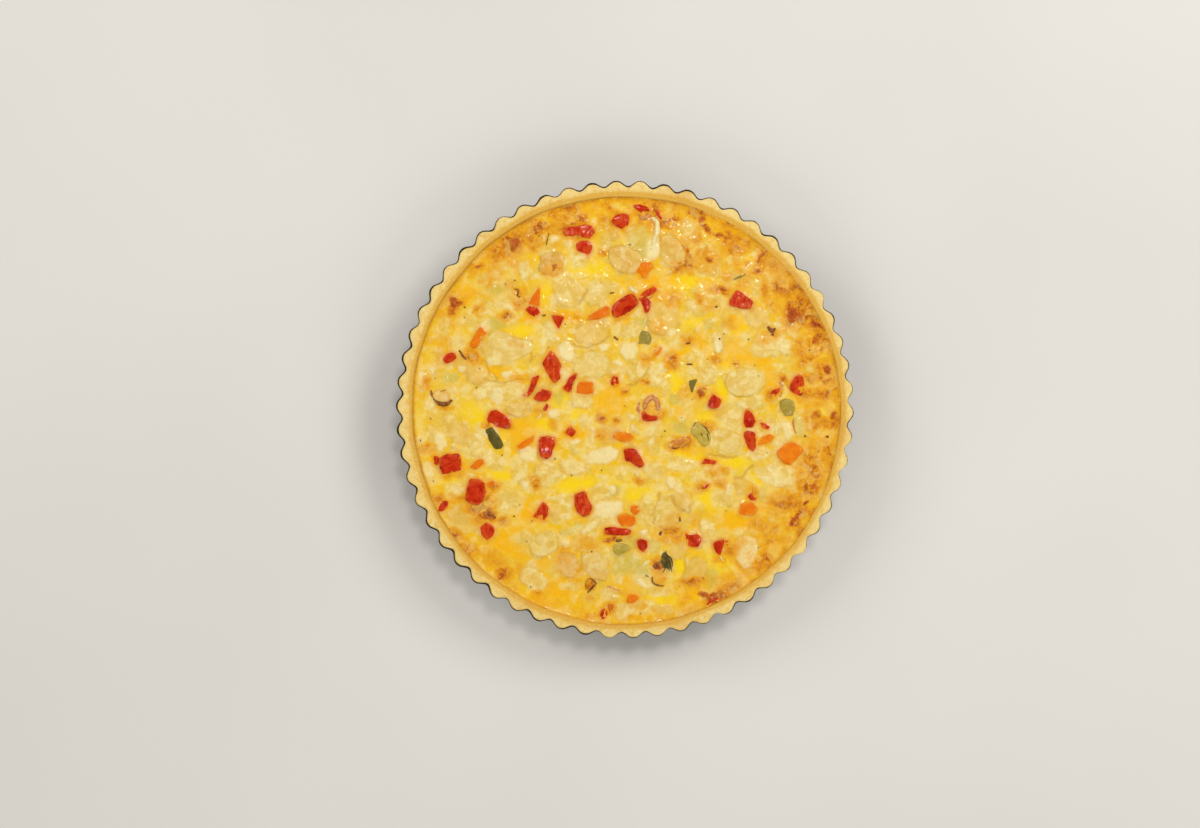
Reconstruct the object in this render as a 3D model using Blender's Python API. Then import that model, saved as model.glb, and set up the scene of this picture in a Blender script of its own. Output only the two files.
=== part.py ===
"""A chicken and vegetable quiche in its fluted tin, +Z up, standing on Z = 0 round the origin. Metres."""

import math
import random

import bmesh
import bpy
from mathutils import Euler, Matrix, Vector

MM = 0.001
GAP = 0.3 * MM  # between pieces that touch

# The tin: thin sheet with fluted sides that lean outwards.
FLUTES = 58
FLUTE_DEPTH = 3.7 * MM  # tip to valley
FLUTE_TURN = math.radians(-0.9)
TIN_TIP_RADIUS = 125 * MM
TIN_HEIGHT = 30 * MM
TIN_WALL = 0.8 * MM
SIDE_LEAN = math.tan(math.radians(10))

# The pastry case: fluted outside, where the tin shapes it, and nearly round inside.
CRUST_HEIGHT = 31 * MM
CRUST_FLOOR = 3.5 * MM
CRUST_INNER_RADIUS = 117.2 * MM
CRUST_EDGE = 0.7 * MM  # the soft inner edge
CRUST_DRAW_IN = 0.3 * MM  # the baked rim shrinks from the tin
CRUST_SHIFT = 0.9 * MM  # the rim is this much thicker on one side
CRUST_THIN_SIDE = math.radians(-40)

# The baked filling: a low dome with a gently uneven top.
FILLING_EDGE_DROP = 2.3 * MM  # below the crust's top
FILLING_DOME = 0.7 * MM
FILLING_WAVE = 0.35 * MM
WAVE_LENGTH = 43 * MM

COLUMNS_PER_FLUTE = 6
INNER_COLUMNS = 2 * FLUTES
FILLING_COLUMNS = FLUTES
FILLING_RINGS = 6
FILLING_FINE_RINGS = 3  # the outer ones, with twice as many columns as the rest

# The vegetables and meat that stand in the filling. Each row is one piece, in millimetres and degrees:
# middle x and y, length, width, the turn of its length from X, and its far end's width over its near end's.
PEPPERS = (
    (0, 57, 13, 8.6, 36, 1.0),
    (-97, -29, 13, 10.5, 2, 0.9),
    (-69, -6, 12.5, 7.6, -25, 0.85),
    (-81, -44.5, 12, 10, 80, 0.9),
    (-42, -21, 11.5, 7.5, -80, 0.9),
    (-38.5, 23, 15, 7, -68, 0.75),
    (4.5, -26.5, 12.5, 8, -38, 0.8),
    (63, 60, 12, 8.5, -22, 0.75),
    (94, 13, 12.5, 8, 78, 0.45),
    (-23, -52, 12.5, 8, -68, 0.8),
    (-75, -66, 8.6, 8, 45, 0.9),
    (-4, -66.6, 13.5, 3.8, -4, 0.7),
    (68, -5.5, 8.5, 6.4, 120, 0.4),
    (69.3, -17.5, 11, 6, -62, 0.7),
    (-50.5, 12.5, 12, 3.4, 60, 0.8),
    (-44.2, 7.8, 9, 5, 15, 0.9),
    (-21.5, 97.2, 10, 5, -5, 0.7),
    (-22, 87.8, 9, 6.2, -40, 0.9),
    (-3, 102.5, 9, 8, 10, 0.8),
    (8.5, 109, 9, 4.8, -35, 0.7),
    (12.7, 62.6, 10, 3.8, 27, 0.8),
    (-30.5, 14, 9, 4.4, 62, 0.7),
    (36.8, -71, 8.6, 6, -12, 0.8),
    (51.5, -76, 8.6, 5, 70, 0.7),
)
CARROTS = (
    (-80.5, 39.5, 12.5, 6, 58, 0.9),
    (-48.3, 62.4, 12.5, 5.6, 63, 0.35),
    (-14.4, 52.3, 12.5, 5, 200, 0.4),
    (11.8, 77, 8.6, 6, 60, 0.8),
    (-21, 11.5, 8.6, 6, 0, 0.95),
    (-1, -15, 10.5, 4.4, -8, 0.85),
    (77, -15, 7.6, 5.2, 15, 0.8),
    (90.5, -24, 13, 10.5, -35, 0.7),
    (67, -54, 10, 6.2, 5, 0.85),
    (2, -60.2, 8.6, 6.4, -10, 0.85),
    (4, -104, 9, 5.2, 15, 0.8),
    (-80, -30, 10, 3.8, 32, 0.7),
)
GREENS = (
    (-71, -16.4, 12, 5.2, -52, 0.9),
    (88.5, 0, 9.5, 8, 70, 0.8),
    (43, -12.5, 10, 6.4, -55, 0.7),
    (22, -83, 10.5, 5.4, -75, 0.6),
)
CHICKEN = (
    (-41, 80, 13, 12, 75, 0.95),
    (0, 82, 17, 15, 10, 0.95),
    (28, 88, 19, 13.5, -60, 0.85),
    (-65, 31, 24, 15, 5, 0.6),
    (-100, 7, 11.5, 7.5, -12, 0.8),
    (-57.5, 1.4, 16.5, 6.4, 8, 0.8),
    (-13, 25, 22, 12.5, 6, 0.9),
    (67, 15.5, 21, 15, 0, 0.8),
    (55.8, -17, 14.5, 14.5, 0, 0.9),
    (30, -18.5, 11.5, 5.2, 12, 0.8),
    (-45, -74, 12.5, 12, 0, 0.95),
    (-31.5, -84, 14, 11.5, 85, 0.9),
    (-14, -84.5, 17.5, 15, 85, 0.85),
    (25, -61.5, 14, 12.5, 80, 0.85),
)
# How thick each kind is, and how much of that stands above the filling, in millimetres.
PEPPER_DEPTH, PEPPER_RISE = 4.6, 1.5
CARROT_DEPTH, CARROT_RISE = 5.2, 1.1
GREEN_DEPTH, GREEN_RISE = 3.4, 0.9
CHICKEN_DEPTH, CHICKEN_RISE = 9.0, 1.4
DICE_EDGE = 0.6 * MM
CHICKEN_EDGE = 1.1 * MM
CHICKEN_SIDES = 7
CHICKEN_TOP = 0.92  # of its widest
UNEVEN = 0.07  # of a piece's size
MOST_TILT = 5  # degrees


def clear_scene():
    for thing in list(bpy.data.objects):
        bpy.data.objects.remove(thing)


def material(name, colour, roughness, metallic=0.0):
    made = bpy.data.materials.new(name)
    made.use_nodes = True
    shader = made.node_tree.nodes["Principled BSDF"]
    shader.inputs["Base Color"].default_value = (*colour, 1)
    shader.inputs["Roughness"].default_value = roughness
    shader.inputs["Metallic"].default_value = metallic
    return made


def add_object(name, bm, finish):
    bmesh.ops.recalc_face_normals(bm, faces=bm.faces)
    mesh = bpy.data.meshes.new(name)
    bm.to_mesh(mesh)
    bm.free()
    mesh.materials.append(finish)
    made = bpy.data.objects.new(name, mesh)
    bpy.context.collection.objects.link(made)
    return made


def fluted_ring(tip_radius, z):
    """Points round a fluted outline whose tips reach tip_radius."""
    count = FLUTES * COLUMNS_PER_FLUTE
    ring = []
    for i in range(count):
        wave = math.cos(2 * math.pi * i / COLUMNS_PER_FLUTE)
        radius = tip_radius - FLUTE_DEPTH * (1 - wave) / 2
        angle = 2 * math.pi * i / count + FLUTE_TURN
        ring.append(Vector((radius * math.cos(angle), radius * math.sin(angle), z)))
    return ring


def case_radius(angle, z):
    """The inside of the pastry case: a leaning wall, thicker on one side, with the unevenness of pressed dough."""
    uneven = 0.35 * MM * math.sin(3 * angle + 1) + 0.2 * MM * math.sin(7 * angle)
    at_top = CRUST_INNER_RADIUS + CRUST_SHIFT * math.cos(angle - CRUST_THIN_SIDE) + uneven
    return at_top - SIDE_LEAN * (CRUST_HEIGHT - z)


def case_ring(count, z, outwards=0.0, height_at=None):
    """Points round the inside of the case, moved outwards, at z or at height_at(x, y)."""
    ring = []
    for i in range(count):
        angle = 2 * math.pi * i / count + FLUTE_TURN
        radius = case_radius(angle, z) + outwards
        x, y = radius * math.cos(angle), radius * math.sin(angle)
        ring.append(Vector((x, y, height_at(x, y) if height_at else z)))
    return ring


def filling_height(x, y):
    """The top of the filling: a low dome with two crossing waves."""
    edge = CRUST_HEIGHT - FILLING_EDGE_DROP
    dome = FILLING_DOME * (1 - (x * x + y * y) / CRUST_INNER_RADIUS**2)
    turn = 2 * math.pi / WAVE_LENGTH
    waves = math.sin(turn * x + 0.6) + math.sin(turn * (y - 0.4 * x) + 2.1)
    return edge + dome + FILLING_WAVE * waves / 2


def lathe(rings):
    """A closed solid through the rings, each with as many points as the last or a whole fraction of them."""
    bm = bmesh.new()
    loops = [[bm.verts.new(point) for point in ring] for ring in rings]
    for near, far in zip(loops, loops[1:]):
        many, few = (near, far) if len(near) >= len(far) else (far, near)
        share = len(many) // len(few)
        for i in range(len(few)):
            start, end = few[i], few[(i + 1) % len(few)]
            span = [many[(i * share + k) % len(many)] for k in range(share + 1)]
            half = (share + 1) // 2
            for k in range(share):
                if share == 1:
                    bm.faces.new((span[0], span[1], end, start))
                else:
                    bm.faces.new((span[k], span[k + 1], start if k < half else end))
            if share > 1:
                bm.faces.new((start, span[half], end))
    bm.faces.new(loops[0])
    bm.faces.new(loops[-1])
    return bm


def make_tin(finish):
    height_lean = SIDE_LEAN * TIN_HEIGHT
    inner_tip = TIN_TIP_RADIUS - TIN_WALL
    rings = (
        fluted_ring(TIN_TIP_RADIUS - height_lean, 0),
        fluted_ring(TIN_TIP_RADIUS, TIN_HEIGHT),
        fluted_ring(inner_tip, TIN_HEIGHT),
        fluted_ring(inner_tip - height_lean + SIDE_LEAN * TIN_WALL, TIN_WALL),
    )
    return add_object("tin", lathe(rings), finish)


def make_crust(finish):
    foot = TIN_WALL + GAP
    inner_tip = TIN_TIP_RADIUS - TIN_WALL - GAP
    foot_tip = inner_tip - SIDE_LEAN * (TIN_HEIGHT - foot)
    top_tip = inner_tip - CRUST_DRAW_IN
    floor = foot + CRUST_FLOOR
    shoulder = CRUST_HEIGHT - CRUST_EDGE
    rings = (
        fluted_ring(foot_tip, foot),
        fluted_ring(top_tip, CRUST_HEIGHT),
        case_ring(INNER_COLUMNS, CRUST_HEIGHT, outwards=CRUST_EDGE),
        case_ring(INNER_COLUMNS, shoulder),
        case_ring(INNER_COLUMNS, floor),
    )
    return add_object("crust", lathe(rings), finish)


def make_filling(finish):
    """A disc that fits the case, with rings across its uneven top."""
    foot = TIN_WALL + GAP + CRUST_FLOOR + GAP
    top = CRUST_HEIGHT - FILLING_EDGE_DROP
    rings = [case_ring(FILLING_COLUMNS, foot, outwards=-GAP)]
    for i in range(FILLING_RINGS):
        inwards = GAP + CRUST_INNER_RADIUS * i / FILLING_RINGS
        columns = FILLING_COLUMNS if i < FILLING_FINE_RINGS else FILLING_COLUMNS // 2
        rings.append(case_ring(columns, top, outwards=-inwards, height_at=filling_height))
    return add_object("filling", lathe(rings), finish)


def jitter(random_source):
    return 1 + random_source.uniform(-UNEVEN, UNEVEN)


def dice_mesh(length, width, depth, taper, random_source):
    """A cut piece: a block narrowed at its far end, with corners a little off true."""
    bm = bmesh.new()
    bmesh.ops.create_cube(bm, size=1)
    for corner in bm.verts:
        narrow = taper if corner.co.x > 0 else 1
        size = Vector((length, width * narrow, depth))
        for axis in range(3):
            corner.co[axis] *= size[axis] * jitter(random_source)
    return bm


def lump_mesh(length, width, depth, taper, random_source):
    """A rounded piece: an uneven oval narrowed at its far end and at its top."""
    corners = []
    for i in range(CHICKEN_SIDES):
        angle = 2 * math.pi * i / CHICKEN_SIDES
        reach = jitter(random_source) / 2
        x = math.cos(angle) * reach
        narrow = 1 - (1 - taper) * (x + 0.5)
        corners.append(Vector((x * length, math.sin(angle) * reach * width * narrow, 0)))
    rings = [[corner - Vector((0, 0, depth / 2)) for corner in corners]]
    rings.append([corner * CHICKEN_TOP + Vector((0, 0, depth / 2)) for corner in corners])
    return lathe(rings)


def make_topping(name, row, shape, depth, rise, edge, finish, pockets, seed):
    """One piece in its place in the filling, and a slightly larger cutter for the pocket it sits in."""
    x, y, length, width, turn, taper = row
    tilts = random.Random(seed)
    lean = [math.radians(tilts.uniform(-MOST_TILT, MOST_TILT)) for _ in range(2)]
    middle = Vector((x * MM, y * MM, 0))
    middle.z = filling_height(middle.x, middle.y) + (rise - depth / 2) * MM
    place = Matrix.Translation(middle) @ Euler((*lean, math.radians(turn))).to_matrix().to_4x4()
    for grow in (0, 2 * GAP):
        size = [side * MM + grow for side in (length, width, depth)]
        bm = shape(*size, taper, random.Random(seed))
        made = add_object(name + "_pocket" if grow else name, bm, finish)
        made.matrix_world = place
        if grow:
            made.hide_render = True
            made.display_type = "WIRE"
            bpy.context.collection.objects.unlink(made)
            pockets.objects.link(made)
        else:
            bevel = made.modifiers.new("soft_edges", "BEVEL")
            bevel.width = edge
            bevel.segments = 1
            bevel.limit_method = "ANGLE"
            bevel.angle_limit = math.radians(50)


def make_toppings(finishes, pockets):
    kinds = (
        ("pepper", PEPPERS, dice_mesh, PEPPER_DEPTH, PEPPER_RISE, DICE_EDGE),
        ("carrot", CARROTS, dice_mesh, CARROT_DEPTH, CARROT_RISE, DICE_EDGE),
        ("green", GREENS, dice_mesh, GREEN_DEPTH, GREEN_RISE, DICE_EDGE),
        ("chicken", CHICKEN, lump_mesh, CHICKEN_DEPTH, CHICKEN_RISE, CHICKEN_EDGE),
    )
    for kind, rows, shape, depth, rise, edge in kinds:
        for number, row in enumerate(rows, 1):
            name = f"{kind}_{number:02d}"
            make_topping(name, row, shape, depth, rise, edge, finishes[kind], pockets, name)


def cut_pockets(filling, pockets):
    """Takes the toppings' pockets out of the filling."""
    cut = filling.modifiers.new("pockets", "BOOLEAN")
    cut.operation = "DIFFERENCE"
    cut.operand_type = "COLLECTION"
    cut.collection = pockets
    cut.solver = "EXACT"


def main():
    clear_scene()
    finishes = {
        "pepper": material("pepper", (0.48, 0.03, 0.012), 0.3),
        "carrot": material("carrot", (0.8, 0.22, 0.02), 0.4),
        "green": material("green", (0.16, 0.19, 0.03), 0.45),
        "chicken": material("chicken", (0.72, 0.5, 0.2), 0.5),
    }
    make_tin(material("dark_tin", (0.035, 0.03, 0.026), 0.4, 0.6))
    make_crust(material("pastry", (0.82, 0.5, 0.13), 0.75))
    filling = make_filling(material("egg_filling", (0.78, 0.42, 0.07), 0.45))
    pockets = bpy.data.collections.new("pockets")
    bpy.context.scene.collection.children.link(pockets)
    make_toppings(finishes, pockets)
    cut_pockets(filling, pockets)


main()
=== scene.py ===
"""The finished look of a chicken and vegetable quiche in its fluted tin. Metres, +Z up."""

import math
import random

import bpy
import numpy as np
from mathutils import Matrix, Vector, noise
from mathutils.bvhtree import BVHTree


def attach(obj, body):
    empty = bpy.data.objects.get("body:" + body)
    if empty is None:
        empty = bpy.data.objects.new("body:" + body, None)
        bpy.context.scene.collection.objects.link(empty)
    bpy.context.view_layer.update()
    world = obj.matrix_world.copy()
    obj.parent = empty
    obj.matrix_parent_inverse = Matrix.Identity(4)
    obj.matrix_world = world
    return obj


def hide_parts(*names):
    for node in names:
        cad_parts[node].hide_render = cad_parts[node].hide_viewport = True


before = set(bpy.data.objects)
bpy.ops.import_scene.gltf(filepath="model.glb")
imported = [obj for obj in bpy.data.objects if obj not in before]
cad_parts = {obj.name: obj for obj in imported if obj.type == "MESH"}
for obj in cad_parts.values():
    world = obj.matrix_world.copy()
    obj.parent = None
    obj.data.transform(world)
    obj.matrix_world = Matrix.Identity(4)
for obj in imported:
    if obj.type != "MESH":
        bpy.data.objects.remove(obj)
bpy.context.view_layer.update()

MM = 0.001
NOISE_SEED = 2  # Blender would take it from the clock

# ---------------------------------------------------------------- sizes

FLUTES = 58
POINTS_PER_FLUTE = 12
FLUTE_DEPTH = 3.0 * MM
FLUTE_TURN = math.radians(-0.9)
TIN_TIP_RADIUS = 125 * MM
TIN_HEIGHT = 30 * MM
TIN_SHEET = 0.5 * MM
TIN_ROWS = 16  # rows of faces up the side
TIN_GAP = 0.15 * MM  # between the tin and the pastry
SIDE_LEAN = math.tan(math.radians(10))
CRUST_TOP = 31 * MM
CRUST_INNER_RADIUS = 117.2 * MM
CRUST_SHIFT = 0.9 * MM
CRUST_THIN_SIDE = math.radians(-40)
SHADE_LINE_SIDE = math.radians(155)  # where the painted shade line between pastry and filling is darkest
SHADED_EDGE_SIDE = math.radians(62)  # where the browned band at the filling's edge is widened with painted shade of the pastry's wall
RIM_SIDE = math.radians(14)  # where the browned rim is darkest
PUFFED_SIDE = math.radians(15)  # where the filling has risen highest at its edge
SPILL_SIDE = math.radians(-35)  # where the pastry has risen over the tin's edge
EGG_EDGE_DROP = 2.3 * MM
EGG_DOME = 0.7 * MM
EGG_WAVE = 0.35 * MM
EGG_WAVE_LENGTH = 43 * MM
EGG_FLOOR = 5.2 * MM
CREASE_WIDTH = 0.75 * MM
CREASE_DEPTH = 0.3 * MM
CORNER_CUT = 0.1  # how much of each side of a cut piece goes in rounding its corners
SPARE = 0.3 * MM  # added round a cut piece, which rounding its edges takes off again
SMALL_LUMPS = 130  # how many, and then how far out they lie, in millimetres
SMALL_LUMPS_REACH = 104
SPECKS = 30
SPECKS_REACH = 108
EGG_CUTS = 12  # in each of two rounds, which makes 13 x 13 rings of fine faces

# ---------------------------------------------------------------- where things lie
# Pieces with a clear shape are given by their outlines, in millimetres from the middle of the pie.

# Lumps: which kind, how dark the painted shade round it is, and the outline. First the ones the frame has.
CLEAR_LUMPS = (
    ("toasted", 0.6, ((-46, 84.5), (-40, 86), (-34.5, 85.5), (-33, 81), (-34.5, 75), (-38, 73),
        (-43, 73.5), (-46.5, 76.5), (-45.5, 80.5))),
    ("tan", 0.9, ((-8.3, 87.5), (-4, 89), (2, 88.5), (7, 86), (10, 82.5), (9, 78), (5, 74.5), (-1, 74.5),
        (-5.5, 77), (-8.5, 82))),
    ("tan", 0.8, ((20, 94.5), (25, 95.5), (29, 92.5), (31.5, 89), (34.5, 84), (35.5, 80.5), (32, 78.5),
        (27, 77.5), (22, 79), (19.5, 84), (19, 90))),
    ("cream", 0.9, ((-76, 37), (-74, 41), (-70, 43), (-66, 42.5), (-62, 39.5), (-56, 37.8), (-51, 37),
        (-49.5, 34.5), (-51, 31.5), (-56, 28.8), (-61, 26.5), (-65, 24.5), (-70, 24), (-74, 26),
        (-77, 30), (-77.5, 34))),
    ("toasted", 0.4, ((-105, 8), (-103, 10.5), (-99, 10.5), (-96, 9), (-95, 6.5), (-97, 4.2), (-101, 3.8),
        (-104, 5.5))),
    ("tan", 0.5, ((-65, 1), (-60, 4), (-54, 4.5), (-50, 3), (-49, 0), (-52, -3), (-58, -4.5), (-64, -2.5))),
    ("cream", 0.8, ((-28, 22.5), (-26, 28), (-22, 31), (-17, 31.8), (-12, 30.3), (-8.8, 27), (-7.5, 23),
        (-9, 20), (-12, 18), (-18, 17.5), (-24, 17.3), (-27.5, 19))),
    ("cream", 0.6, ((55, 15), (57, 19.5), (61, 21.8), (67, 22.3), (72.5, 21.3), (76.3, 18), (76.8, 14),
        (73, 10), (67, 7.3), (61, 7.3), (56.5, 10))),
    ("cream", 0.5, ((47, -12), (52, -11), (58, -12), (62.5, -14), (63.5, -19), (60.5, -23.5), (55, -24.5),
        (50, -23.5), (46.5, -20), (46, -16))),
    ("toasted", 0.8, ((25, -18), (28, -16), (33, -15.3), (36, -16.8), (34, -19), (30, -21), (26, -21),
        (24.3, -19.8))),
    ("cream", 0.9, ((-52, -74), (-51, -70), (-47, -67.5), (-41, -67), (-37.3, -68.5), (-36.6, -73),
        (-37.5, -77), (-41, -78.8), (-46, -80.8), (-50.5, -79))),
    ("toasted", 0.4, ((-37, -80), (-33, -78.5), (-28, -79), (-25.5, -83), (-26, -88), (-29, -91.5),
        (-34, -91), (-37, -87))),
    ("tan", 0.8, ((-22.5, -79.5), (-17, -77.8), (-12, -78.5), (-9.3, -82.5), (-8.8, -88.5),
        (-10.5, -93.5), (-14.5, -93), (-19, -91), (-22.3, -87), (-23.3, -83))),
    ("cream", 0.7, ((17.5, -51.5), (21, -47.5), (25, -47), (26, -52), (29, -56), (29.5, -62), (24.5, -66),
        (18, -64.5), (16, -58))),
)
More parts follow.
